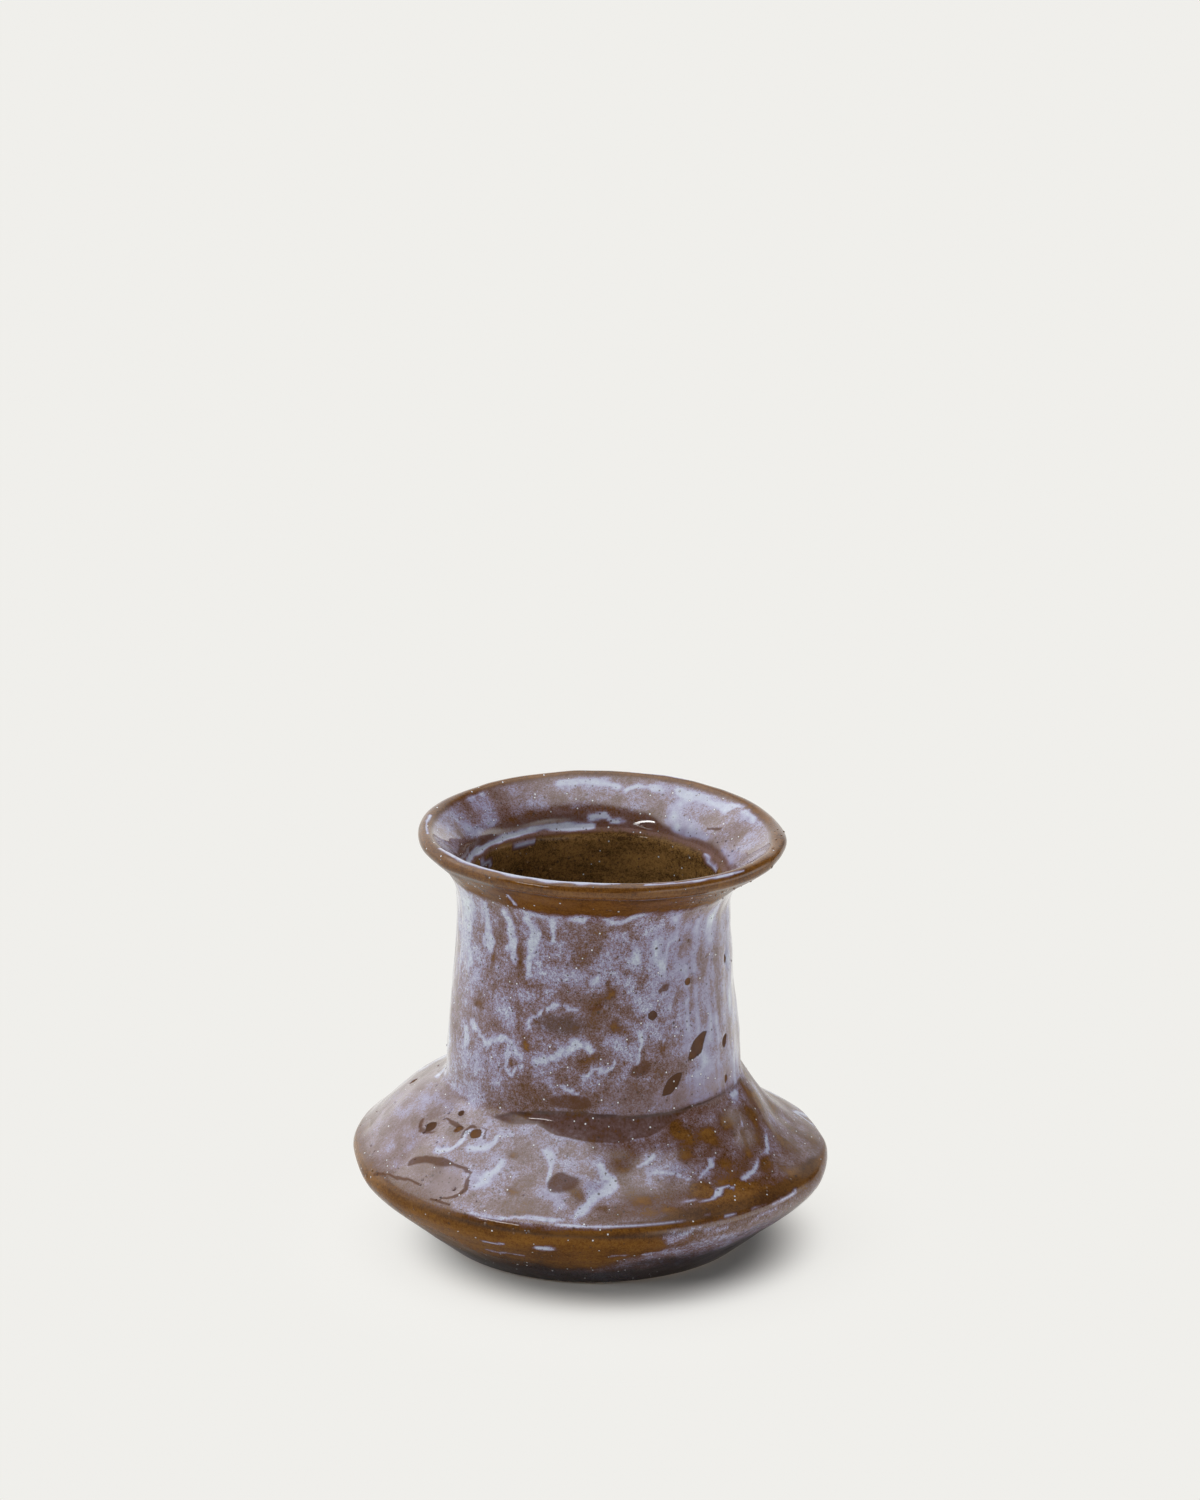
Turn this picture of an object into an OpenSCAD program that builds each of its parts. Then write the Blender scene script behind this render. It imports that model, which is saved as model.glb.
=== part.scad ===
// Hand-built stoneware vase: wide keeled body, tall open neck, flared rim, three coats of glaze.
// The walls are clay sections luted edge to edge, and each coat of glaze lies on the clay it covers.
// Millimetres. The origin is the middle of the base on the table, and +Z is up.
// A profile point is [radius, height]. One profile line runs up the outside, over the lip and down
// the inside, and every section of wall and every coat of glaze is a stretch of it.

/* [Overall] */
// Height from the table to the top of the lip
height = 124; // [116:0.5:140]
// Diameter over the glaze at the keel, the widest line of the body
keel_d = 138.5; // [128:0.5:150]
// Height of the keel line
keel_h = 26; // [23:0.5:30]

/* [Base and lower bowl] */
// Diameter of the flat base on the table
foot_d = 86; // [78:0.5:92]
// Thickness of the base slab
base_t = 7; // [5:0.5:9]
// Slope of the lower wall, measured from the table
bowl_angle = 39; // [36:0.5:42]
// How far the lower bowl swells out past the keel line
keel_bulge = 2.2; // [1:0.1:3.5]
// Height of the rolled edge under the keel line
keel_roll = 4.5; // [3:0.5:6]

/* [Shoulder] */
// Slope of the shoulder just above the keel, measured from the table
shoulder_angle = 36; // [30:0.5:42]
// Length over which the shoulder turns up into the neck
neck_sweep = 7; // [4:0.5:10]
// Slope of the shoulder where it meets the neck, measured from the table
neck_sweep_angle = 60; // [50:1:70]

/* [Neck] */
// Diameter over the glaze at the foot of the neck
neck_foot_d = 86; // [82:0.5:92]
// Height of the foot of the neck
neck_foot_h = 50; // [46:0.5:56]
// Diameter over the glaze at the narrowest part of the neck
neck_top_d = 79.4; // [70:0.2:88]
// Thickness of the clay at the foot of the neck
neck_t = 5.2; // [4:0.1:6]
// Thickness of the clay at the narrowest part of the neck
throat_t = 2.4; // [2:0.1:4]

/* [Rim] */
// Height of the flare, from the narrowest part of the neck up to the lip
flare_h = 23; // [20:0.5:32]
// Height of the rim collar, from its seam on the neck up to the lip
collar_h = 12; // [10:0.5:15]
// How far the collar seam stands out past the narrowest part of the neck
collar_out = 3.3; // [2:0.1:5]
// Diameter over the glaze at the lip
rim_d = 106; // [102:0.5:114]
// Thickness of the clay at the lip
lip_t = 3.2; // [2.6:0.1:4]
// Slope of the lip, measured from the table
lip_angle = 41; // [34:1:48]
// How much steeper the collar starts at its seam
collar_turn = 12; // [6:1:20]

/* [Inside] */
// Thickness of the clay in the lower bowl and the shoulder
wall_t = 5; // [4:0.25:6]
// Depth below the lip of the ledge that the top of the neck leaves inside the collar
ledge_depth = 14; // [12:0.5:17]
// Width of that ledge
ledge_w = 2.2; // [1.5:0.1:3]

/* [Glaze] */
// Thickness of the glaze
glaze_t = 0.8; // [0.5:0.05:1.1]
// Height of the bare clay left above the table
bare_foot = 1.5; // [1.2:0.1:3]

/* [Hand-formed] */
// Rise of the keel at the left, and its drop at the right
keel_tilt = 1.8; // [0:0.1:3]
// Further rise and drop half way up the shoulder
shoulder_tilt = 2.8; // [0:0.1:4]
// Shift of the keel to the left of the base
keel_shift = 1; // [0:0.1:3]
// Shift of the lip to the right of the base
rim_shift = 2; // [0:0.1:3]
// Rise of the lip at the left, and its drop at the right
lip_tilt = 0.9; // [0:0.1:2]
// Swell and draw of the oval lip
rim_oval = 0.7; // [0:0.1:1.2]
// Swell and draw of the three soft corners of the lip
rim_lobe = 0.5; // [0:0.1:1]
// Rise and fall of the wavy lip
lip_wave = 0.5; // [0:0.1:1]
// Flats around each hand-formed wall
sides = 60; // [48:4:64]

/* [Hidden] */

// Directions of the soft corners and waves of the lip, counted from the right
oval_dir = 140;
lobe_dir = -20;
wave_dir = 65;

// Steps along each stretch of the profile
bowl_steps = 4;
shoulder_steps = 5;
neck_steps = 4;
throat_steps = 2;
collar_steps = 3;
lip_steps = 4;
inside_steps = 3;

// Steps of the round base
base_facets = 120;

// Reach of a curve's handles, as a share of the straight line between its ends
handle = 0.33;
long_handle = 0.7;

function along(angle) = [cos(angle), sin(angle)];
function right_of(v) = [v.y, -v.x] / norm(v);
function smooth(t) = let (u = min(max(t, 0), 1)) u * u * (3 - 2 * u);

// Points of a cubic curve from p to s with handles q and r, without its first point
function curve(p, q, r, s, steps) = [
    for (i = [1:steps])
        let (t = i / steps, u = 1 - t)
            u * u * u * p + 3 * u * u * t * q + 3 * u * t * t * r + t * t * t * s
];

// Points of a straight line from p to q, without its first point
function straight(p, q, steps) = [for (i = [1:steps]) p + (q - p) * i / steps];

// Where the line through p at one angle meets the line through q at another
function crossing(p, p_angle, q, q_angle) =
    let (d = along(p_angle), e = along(q_angle), k = q - p)
        p + d * (k.x * e.y - k.y * e.x) / (d.x * e.y - d.y * e.x);

// A profile line moved by t to the right of the way it runs, mitred at its corners
function moved(line, t) = [
    for (i = [0:len(line) - 1])
        let (
            last = len(line) - 1,
            a = right_of(line[max(i, 1)] - line[max(i, 1) - 1]),
            b = right_of(line[min(i, last - 1) + 1] - line[min(i, last - 1)])
        )
            line[i] + t * (a + b) / (1 + a * b)
];

function part_of(line, from, to) = [for (i = [from:to]) line[i]];
function backwards(line) = [for (i = [len(line) - 1:-1:0]) line[i]];

// Corners of the clay on the outside
foot = [foot_d / 2, 0];
slab_edge = foot + base_t * [1 / tan(bowl_angle), 1];
glaze_line = foot + bare_foot * [1 / tan(bowl_angle), 1];
keel = [keel_d / 2 - glaze_t, keel_h];
neck_foot = [neck_foot_d / 2 - glaze_t, neck_foot_h];
neck_top = [neck_top_d / 2 - glaze_t, height - flare_h];
collar = [neck_top.x + collar_out, height - collar_h];
lip_middle = [rim_d / 2, height] - (glaze_t + lip_t / 2) * [1, 1];
lip_out = lip_middle + lip_t / 2 * along(lip_angle - 90);
lip_in = lip_middle + lip_t / 2 * along(lip_angle + 90);

// Corners of the clay on the inside: the wall's lines, set in by its thickness
bowl_inside = foot + wall_t * along(bowl_angle + 90);
shoulder_slope = 180 - atan2(neck_foot_h - keel_h, keel.x - neck_foot.x);
shoulder_inside = neck_foot + wall_t * along(shoulder_slope + 90);
floor_edge = crossing(bowl_inside, bowl_angle, [0, base_t], 0);
keel_in = crossing(bowl_inside, bowl_angle, shoulder_inside, shoulder_slope);
throat = [neck_top.x - throat_t, height - ledge_depth];
neck_bore = neck_foot - [neck_t, 0];
neck_slope = atan2(throat.y - neck_bore.y, throat.x - neck_bore.x);
neck_in = crossing(neck_bore, neck_slope, shoulder_inside, shoulder_slope);
ledge = throat + [ledge_w, 0];

// The clay's profile line, stretch by stretch
bowl_line = curve(
    slab_edge,
    slab_edge + long_handle * norm(keel - slab_edge) * along(bowl_angle),
    keel + [keel_bulge, -keel_roll],
    keel,
    bowl_steps
);
shoulder_line = curve(
    keel,
    keel + handle * norm(neck_foot - keel) * along(180 - shoulder_angle),
    neck_foot + neck_sweep * along(-neck_sweep_angle),
    neck_foot,
    shoulder_steps
);
neck_line = curve(
    neck_foot,
    neck_foot + [0, handle * (neck_top.y - neck_foot.y)],
    neck_top - [0, handle * (neck_top.y - neck_foot.y)],
    neck_top,
    neck_steps
);
throat_line = curve(
    neck_top,
    neck_top + [0, handle * (collar.y - neck_top.y)],
    collar - handle * (collar.y - neck_top.y) * along(lip_angle + collar_turn),
    collar,
    throat_steps
);
collar_line = curve(
    collar,
    collar + handle * norm(lip_out - collar) * along(lip_angle + collar_turn),
    lip_out - handle * norm(lip_out - collar) * along(lip_angle),
    lip_out,
    collar_steps
);
lip_line = [
    for (i = [1:lip_steps])
        lip_middle + lip_t / 2 * along(lip_angle - 90 + 180 * i / lip_steps)
];
flare_line = curve(
    lip_in,
    lip_in - handle * norm(lip_in - ledge) * along(lip_angle),
    ledge + [0, handle * norm(lip_in - ledge)],
    ledge,
    inside_steps
);
clay = concat(
    [glaze_line, slab_edge], bowl_line, shoulder_line, neck_line, throat_line,
    collar_line, lip_line, flare_line, [throat],
    straight(throat, neck_in, inside_steps),
    straight(neck_in, keel_in, inside_steps),
    straight(keel_in, floor_edge, inside_steps),
    [[floor_edge.x / 2, base_t]]
);
glazed = moved(clay, glaze_t);

// Places along that line
at_slab = 1;
at_keel = at_slab + bowl_steps;
at_neck_foot = at_keel + shoulder_steps;
at_collar = at_neck_foot + neck_steps + throat_steps;
at_ledge = at_collar + collar_steps + lip_steps + inside_steps;
at_throat = at_ledge + 1;
at_neck_in = at_throat + inside_steps;
at_keel_in = at_neck_in + inside_steps;
at_floor = at_keel_in + inside_steps;
at_end = at_floor + 1;

// How strongly a height feels each hand-formed fault
function keel_share(z) =
    smooth((z - base_t) / (keel_h - base_t)) * (1 - smooth((z - keel_h) / (neck_foot_h - keel_h)));
function shoulder_share(z) = let (u = smooth((z - keel_h) / (neck_foot_h - keel_h))) 4 * u * (1 - u);
function rim_share(z) = smooth((z - neck_top.y) / flare_h);

// A profile point turned to an angle, with the faults of hand work at that place
function formed(p, angle) =
    let (
        lift = -cos(angle) * (keel_tilt * keel_share(p.y) + shoulder_tilt * shoulder_share(p.y)),
        swell = rim_oval * cos(2 * (angle - oval_dir)) + rim_lobe * cos(3 * (angle - lobe_dir)),
        wave = lip_wave * cos(2 * (angle - wave_dir)) - lip_tilt * cos(angle),
        r = p.x / cos(180 / sides) + swell * rim_share(p.y)
    )
        [
            r * cos(angle) + rim_shift * rim_share(p.y) - keel_shift * keel_share(p.y),
            r * sin(angle),
            p.y + lift + wave * rim_share(p.y)
        ];

// Two triangles between neighbouring rings. The diagonal always starts on the lower ring, so that
// two sections that share a face share its triangles.
function patch(p, q, i, j, k) =
    let (a = i * sides, b = j * sides, n = (k + 1) % sides)
        p.y < q.y || (p.y == q.y && p.x > q.x)
            ? [[a + k, b + k, b + n], [a + k, b + n, a + n]]
            : [[a + k, b + k, a + n], [b + k, b + n, a + n]];

// A closed solid from a loop of profile points. With ends = true the loop is left open at the
// floor, and its first and last rings are closed by flat faces instead.
module hand_formed(loop, ends = false) {
    count = len(loop);
    points = [for (p = loop, k = [0:sides - 1]) formed(p, 360 * k / sides)];
    walls = [
        for (i = [0:count - (ends ? 2 : 1)], k = [0:sides - 1])
            each patch(loop[i], loop[(i + 1) % count], i, (i + 1) % count, k)
    ];
    underside = [for (k = [0:sides - 1]) k];
    top = [for (k = [sides - 1:-1:0]) (count - 1) * sides + k];
    polyhedron(points, ends ? concat(walls, [underside, top]) : walls);
}

module clay_colour() {
    color("#a98a6c") children();
}

// Slab that the pot stands on, with its edge bevelled to the slope of the bowl
module base_slab() {
    clay_colour()
        rotate_extrude($fn = base_facets)
            polygon([[0, 0], foot, slab_edge, [0, base_t]]);
}

// Wall from the slab up to the keel
module lower_bowl() {
    clay_colour()
        hand_formed(concat(part_of(clay, at_slab, at_keel), part_of(clay, at_keel_in, at_floor)));
}

// Wall from the keel in to the foot of the neck
module shoulder() {
    clay_colour()
        hand_formed(
            concat(part_of(clay, at_keel, at_neck_foot), part_of(clay, at_neck_in, at_keel_in))
        );
}

// Upright wall, which starts to flare before the collar and leaves a ledge inside it
module neck() {
    clay_colour()
        hand_formed(
            concat(part_of(clay, at_neck_foot, at_collar), part_of(clay, at_ledge, at_neck_in))
        );
}

// Flared collar with a rounded lip, seated on the top of the neck
module rim_collar() {
    clay_colour()
        hand_formed(part_of(clay, at_collar, at_ledge));
}

// A coat of glaze over a stretch of the clay
module coat(from, to) {
    hand_formed(concat(part_of(glazed, from, to), backwards(part_of(clay, from, to))));
}

// Blue and lavender coat on the outside, from just above the table to the collar
module body_glaze() {
    color("#8f8398")
        coat(0, at_collar);
}

// Amber coat over the collar, outside and inside
module rim_glaze() {
    color("#9a6a3c")
        coat(at_collar, at_ledge);
}

// Brown coat inside, from the ledge down over the floor
module liner_glaze() {
    color("#5b3a26")
        hand_formed(
            concat(backwards(part_of(clay, at_ledge, at_end)), part_of(glazed, at_ledge, at_end)),
            ends = true
        );
}

base_slab();
lower_bowl();
shoulder();
neck();
rim_collar();
body_glaze();
rim_glaze();
liner_glaze();
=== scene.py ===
# %% [markdown]
# # A hand-built stoneware vase
# The vase is eight solids: five clay sections and three coats of glaze. Here each one gets its
# finish. A potter's wall is never quite round and a reactive glaze is never quite even, so the
# walls are worked out again on a fine grid, with the dents of the hand, and the glaze is painted
# from fields that follow the wall. We start by loading the solids.

# %% Load the solids
import math
from types import SimpleNamespace

import bpy
import numpy as np
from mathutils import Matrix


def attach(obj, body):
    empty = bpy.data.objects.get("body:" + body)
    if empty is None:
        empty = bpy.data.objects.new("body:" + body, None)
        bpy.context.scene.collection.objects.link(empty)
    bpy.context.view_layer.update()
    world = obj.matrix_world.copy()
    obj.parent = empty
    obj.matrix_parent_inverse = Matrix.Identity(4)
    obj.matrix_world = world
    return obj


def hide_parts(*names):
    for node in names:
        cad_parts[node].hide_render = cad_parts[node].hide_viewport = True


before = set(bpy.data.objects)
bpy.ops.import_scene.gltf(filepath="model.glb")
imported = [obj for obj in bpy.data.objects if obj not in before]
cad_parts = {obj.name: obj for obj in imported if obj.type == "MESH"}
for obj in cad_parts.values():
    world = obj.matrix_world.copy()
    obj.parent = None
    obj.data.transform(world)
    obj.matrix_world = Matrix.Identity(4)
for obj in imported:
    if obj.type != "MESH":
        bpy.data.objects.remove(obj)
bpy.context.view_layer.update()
print("solids:", sorted(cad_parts))

# %% [markdown]
# ## The profile
# Every wall of the pot follows one line: up the outside, over the lip and down the inside. A
# bevel or a subdivision could soften a coarse line, but a smooth line is easier to place a
# pattern on, so the line is drawn with curves in millimetres, spaced evenly and rounded as glaze
# rounds every edge. The same sizes drive the solids.

# %% Sizes of the pot in millimetres
MM = 0.001
height, keel_d, keel_h = 124.0, 138.5, 26.0
foot_d, base_t, bowl_angle = 86.0, 7.0, 39.0
keel_bulge, keel_roll = 2.2, 4.5
shoulder_angle, neck_sweep, neck_sweep_angle = 36.0, 7.0, 60.0
neck_foot_d, neck_foot_h, neck_top_d = 86.0, 50.0, 79.4
neck_t, throat_t, wall_t = 5.2, 2.4, 5.0
flare_h, collar_h, collar_out = 23.0, 12.0, 3.3
rim_d, lip_t, lip_angle, collar_turn = 106.0, 3.2, 41.0, 12.0
ledge_depth, ledge_w = 14.0, 2.2
glaze_t, bare_foot = 0.8, 1.5
handle, long_handle = 0.33, 0.7
print("pot of", keel_d, "mm over the keel and", height, "mm high")


# %% Directions and crossings
def along(angle):
    """The unit step in a direction, with the angle counted up from level."""
    return np.array([math.cos(math.radians(angle)), math.sin(math.radians(angle))])


def length(v):
    """The length of a step: the root of the sum of its squares."""
    return float(np.hypot(*v))


def crossing(p, p_angle, q, q_angle):
    """Where the line through p at one angle meets the line through q at another."""
    sides = np.stack([along(p_angle), -along(q_angle)], 1)
    return p + along(p_angle) * np.linalg.solve(sides, q - p)[0]


print("a step up the wall of the bowl:", along(bowl_angle).round(2))

# %% Corners of the clay, as radius and height
foot = np.array([foot_d / 2, 0.0])
bevel = np.array([1 / math.tan(math.radians(bowl_angle)), 1.0])
glaze_line = foot + bare_foot * bevel
slab_edge = foot + base_t * bevel
keel = np.array([keel_d / 2 - glaze_t, keel_h])
neck_foot = np.array([neck_foot_d / 2 - glaze_t, neck_foot_h])
neck_top = np.array([neck_top_d / 2 - glaze_t, height - flare_h])
collar = np.array([neck_top[0] + collar_out, height - collar_h])
lip_middle = np.array([rim_d / 2, height]) - (glaze_t + lip_t / 2)
lip_out = lip_middle + lip_t / 2 * along(lip_angle - 90)
lip_in = lip_middle + lip_t / 2 * along(lip_angle + 90)
throat = np.array([neck_top[0] - throat_t, height - ledge_depth])
ledge = throat + [ledge_w, 0]
bowl_inside = foot + wall_t * along(bowl_angle + 90)
shoulder_slope = 180 - math.degrees(math.atan2(neck_foot_h - keel_h, keel[0] - neck_foot[0]))
shoulder_inside = neck_foot + wall_t * along(shoulder_slope + 90)
neck_bore = neck_foot - [neck_t, 0]
neck_slope = math.degrees(math.atan2(throat[1] - neck_bore[1], throat[0] - neck_bore[0]))
neck_in = crossing(neck_bore, neck_slope, shoulder_inside, shoulder_slope)
keel_in = crossing(bowl_inside, bowl_angle, shoulder_inside, shoulder_slope)
floor_edge = crossing(bowl_inside, bowl_angle, np.array([0.0, base_t]), 0)
print("keel at", keel.round(1), "neck foot at", neck_foot.round(1), "lip at", lip_middle.round(1))


# %% Stretches of the profile
def cubic(p, q, r, s, count=80):
    """Points of a cubic curve from p to s with handles q and r."""
    t = np.linspace(0, 1, count)[:, None]
    return (1 - t) ** 3 * p + 3 * (1 - t) ** 2 * t * q + 3 * (1 - t) * t * t * r + t**3 * s


rise = handle * (neck_top[1] - neck_foot[1])
flare = handle * (collar[1] - neck_top[1])
brim = handle * length(lip_out - collar)
inside = handle * length(lip_in - ledge)
turn_round = np.radians(lip_angle - 90 + np.linspace(0, 180, 60))[:, None]
stretches = {
    "glaze_line": np.stack([glaze_line, slab_edge]),
    "slab": cubic(
        slab_edge,
        slab_edge + long_handle * length(keel - slab_edge) * along(bowl_angle),
        keel + [keel_bulge, -keel_roll],
        keel,
    ),
    "keel": cubic(
        keel,
        keel + handle * length(neck_foot - keel) * along(180 - shoulder_angle),
        neck_foot + neck_sweep * along(-neck_sweep_angle),
        neck_foot,
    ),
    "neck_foot": cubic(neck_foot, neck_foot + [0, rise], neck_top - [0, rise], neck_top),
    "neck_top": cubic(
        neck_top, neck_top + [0, flare], collar - flare * along(lip_angle + collar_turn), collar
    ),
    "collar": cubic(
        collar,
        collar + brim * along(lip_angle + collar_turn),
        lip_out - brim * along(lip_angle),
        lip_out,
    ),
    "lip_out": lip_middle + lip_t / 2 * np.hstack([np.cos(turn_round), np.sin(turn_round)]),
    "lip_in": cubic(lip_in, lip_in - inside * along(lip_angle), ledge + [0, inside], ledge),
    "ledge": np.stack([ledge, throat]),
    "throat": np.stack([throat, neck_in]),
    "neck_in": np.stack([neck_in, keel_in]),
    "keel_in": np.stack([keel_in, floor_edge]),
    "floor": np.stack([floor_edge, [0.0, base_t]]),
}
print("stretches of the profile:", list(stretches))

# %% [markdown]
# The stretches are joined and spaced evenly. Then the line is blurred along its own length: gently
# from the collar to just above the ledge, where the clay is thin, and more strongly elsewhere. The
# face of the glaze lies off that line along its normal, and the run, the distance along the
# glaze, is how every later step finds its place on the wall.

# %% Space the line evenly
step = 0.1
corners = np.concatenate(list(stretches.values()))
walked = np.concatenate([[0], np.cumsum(np.hypot(*np.diff(corners, axis=0).T))])
even = np.arange(0, walked[-1], step)
line = np.stack([np.interp(even, walked, corners[:, k]) for k in (0, 1)], 1)
starts = np.cumsum([0] + [len(s) for s in stretches.values()])[:-1]
start_index = {name: int(walked[i] / step) for name, i in zip(stretches, starts)}
print("profile of", len(line), "points")


# %% Round the line and measure it
def blurred(points, sigma):
    """The line averaged along itself with a bell of this width in millimetres, its ends held."""
    reach = int(4 * sigma / step)
    bell_curve = np.exp(-0.5 * (np.arange(-reach, reach + 1) * step / sigma) ** 2)
    bell_curve /= bell_curve.sum()
    held = np.pad(points, ((reach, reach), (0, 0)), mode="edge")
    return np.stack([np.convolve(held[:, k], bell_curve, "valid") for k in (0, 1)], 1)


def smooth(t):
    """Runs from 0 to 1 with a level start and end."""
    u = np.clip(t, 0, 1)
    return u * u * (3 - 2 * u)


thick_blur, thin_blur = 1.3, 0.45
fade_in, fade_out, above_ledge = 8, 6, 9
thin = smooth((even - even[start_index["collar"]]) / fade_in)
thin = thin * (1 - smooth((even - even[start_index["ledge"]] + above_ledge) / fade_out))
line = blurred(line, thick_blur) * (1 - thin)[:, None] + blurred(line, thin_blur) * thin[:, None]
line[0], line[-1] = glaze_line, [0.0, base_t]
tangent = np.gradient(line, axis=0)
tangent /= np.hypot(*tangent.T)[:, None]
normal = np.stack([tangent[:, 1], -tangent[:, 0]], 1)
coated = line + glaze_t * normal
run_of = np.concatenate([[0], np.cumsum(np.hypot(*np.diff(coated, axis=0).T))])
at = {name: float(run_of[i]) for name, i in start_index.items()}
at["end"] = float(run_of[-1])
print("distance along the wall in mm:", {name: round(v, 1) for name, v in at.items()})

# %% [markdown]
# ## The hand-formed wall
# A place on the wall is its run, the distance along the profile from the edge of the glaze, and
# its turn, the angle from the front, to the right. The keel leans, the shoulder leans further, and
# the rim is set off centre and out of round. On top of that come soft lumps from a lattice of
# seeded random numbers and dents that are placed one by one.

# %% Faults of the hand, as in the solids
keel_tilt, shoulder_tilt, lip_tilt = 1.8, 2.8, 0.9
keel_shift, rim_shift = 1.0, 2.0
rim_oval, rim_lobe, lip_wave = 0.7, 0.5, 0.5
oval_dir, lobe_dir, wave_dir = 140.0, -20.0, 65.0


def formed(r, z, turn):
    """Radius and height carried round to a turn, with the lean, shift, oval and wave of the pot."""
    angle = np.radians(turn - 90)
    up_keel = smooth((z - base_t) / (keel_h - base_t))
    up_shoulder = smooth((z - keel_h) / (neck_foot_h - keel_h))
    keel_share = up_keel * (1 - up_shoulder)
    shoulder_share = 4 * up_shoulder * (1 - up_shoulder)
    rim_share = smooth((z - neck_top[1]) / flare_h)
    swell = rim_oval * np.cos(2 * (angle - math.radians(oval_dir)))
    swell = swell + rim_lobe * np.cos(3 * (angle - math.radians(lobe_dir)))
    wave = lip_wave * np.cos(2 * (angle - math.radians(wave_dir))) - lip_tilt * np.cos(angle)
    lift = -np.cos(angle) * (keel_tilt * keel_share + shoulder_tilt * shoulder_share)
    out = r + swell * rim_share
    x = out * np.cos(angle) + rim_shift * rim_share - keel_shift * keel_share
    return np.stack([x, out * np.sin(angle), z + lift + wave * rim_share], -1)


print("keel leans by", keel_tilt, "mm, rim is", rim_shift, "mm off centre")


# %% Seeded lumps
def noise(run, turn, cell_run, cells_round, seed):
    """Smooth random numbers from -1 to 1 on a lattice that closes round the pot.

    Each value is the blend of the four lattice numbers around it, with level starts and ends.
    """
    rows = int(at["end"] / cell_run) + 3
    lattice = np.random.default_rng(seed).uniform(-1, 1, (rows, cells_round))
    a = run / cell_run
    b = (turn % 360) / 360 * cells_round
    i, j = np.floor(a).astype(int), np.floor(b).astype(int)
    u, v = smooth(a - i), smooth(b - j)
    k = (j + 1) % cells_round
    j = j % cells_round
    low = lattice[i, j] * (1 - v) + lattice[i, k] * v
    high = lattice[i + 1, j] * (1 - v) + lattice[i + 1, k] * v
    return low * (1 - u) + high * u


def layered(run, turn, layers):
    """Several layers of noise added up, each with its height, cell along, cells round and seed."""
    return sum(tall * noise(run, turn, *cells) for tall, *cells in layers)


print("noise at the front of the keel:", noise(np.array([at["keel"]]), np.zeros(1), 9, 31, 2).round(2))


# %% Bands, stretches and spots on the wall
def band(run, low, high, soft):
    """1 between two runs along the wall, fading to 0 over a soft edge at both."""
    return smooth((run - low) / soft + 0.5) * smooth((high - run) / soft + 0.5)


def bell(run, middle, width):
    """1 at one run along the wall, falling off on both sides as exp(-(distance / width)^2)."""
    return np.exp(-(((run - middle) / width) ** 2))


def near_turn(turn, middle, half, soft):
    """1 within half a width of a turn, fading to 0 over a soft edge."""
    swing = np.abs((turn - middle + 180) % 360 - 180)
    return smooth((half - swing) / soft + 0.5)


def radius_at(run):
    """Radius in millimetres of the face of the glaze at a run, read off its line."""
    return np.interp(run, run_of, coated[:, 0])


def offset(run, turn, mark_turn, mark_run):
    """Steps in millimetres from a mark on the wall: round to the right, and up along the run."""
    swing = (turn - mark_turn + 180) % 360 - 180
    return np.radians(swing) * radius_at(run), run - mark_run


def spot(run, turn, mark, pointed=2.0):
    """0 at the middle of an oval mark and 1 at its edge: turn, run, half width, half length, tilt.

    The edge is where |across|^p + |along|^p is 1: an oval for p = 2, with pointed ends below that.
    """
    mark_turn, mark_run, wide, long, tilt = mark
    x, y = offset(run, turn, mark_turn, mark_run)
    c, s = math.cos(math.radians(tilt)), math.sin(math.radians(tilt))
    across, lengthwise = np.abs((c * x + s * y) / wide), np.abs((c * y - s * x) / long)
    return (across**pointed + lengthwise**pointed) ** (1 / pointed)


print("radius of the glaze at the keel:", radius_at(at["keel"]).round(1), "mm")

# %% [markdown]
# The marks are listed as a potter would point them out. Pits are where a bubble broke, smudges
# are flat brown spots without a hollow, and dents come from fingers and tools: a ridge is a dent
# with a negative depth. One fingertip left a round dent on the shoulder, and the stains are the
# brown lines round it. Each row is turn, run, half width, half length and tilt, with the depth of
# a dent last. A stain is a half width and its points of turn and run.

# %% Pits, smudges, dents and stains
PITS = [
    (42, 109, 1.5, 1.2, 0), (24, 101, 1.7, 1.6, 0), (45, 89, 2.4, 5.6, -50), (32, 80, 2.2, 4.0, -50),
    (63, 87, 1.3, 2.0, -40), (63, 75, 0.9, 1.5, 0), (72, 110, 1.0, 1.7, 0), (-60, 56, 1.8, 1.8, 0),
    (-50, 60, 1.3, 1.6, -30), (-42, 61, 2.0, 2.0, -20), (-54, 65, 1.0, 1.2, 0),
    (38, 121.8, 0.5, 0.7, 0), (43, 120.8, 0.5, 0.8, 0),
]
SMUDGES = [
    (30, 109, 2.0, 1.0, 25), (18, 86, 2.8, 1.9, 20), (-8, 77, 5.6, 2.1, 0), (-8, 50.5, 4.6, 3.0, 5),
]
DENTS = [
    (72, 109, 1.8, 2.8, 0, 0.35), (86, 98, 6, 9, 0, 0.6), (80, 82, 4, 7, 20, 0.5),
    (70, 92, 5, 9, -10, 0.3), (-42, 50, 7, 1.6, -15, 0.35), (92, 56, 4.5, 10, 20, 0.22),
    (84, 47, 4.5, 9, 25, 0.16), (99, 50, 4.5, 9, 20, -0.18), (76, 60, 5.0, 9, 25, -0.1),
    (-65, 40, 6, 1.2, 10, 0.2), (-80, 58, 7, 8, 0, 0.5), (20, 62, 9, 5, 0, 0.3),
    (86, 150, 7, 6, 0, -0.5),
]
FINGERTIP = (-41, 44, 6.0, 6.0, 0)
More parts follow.
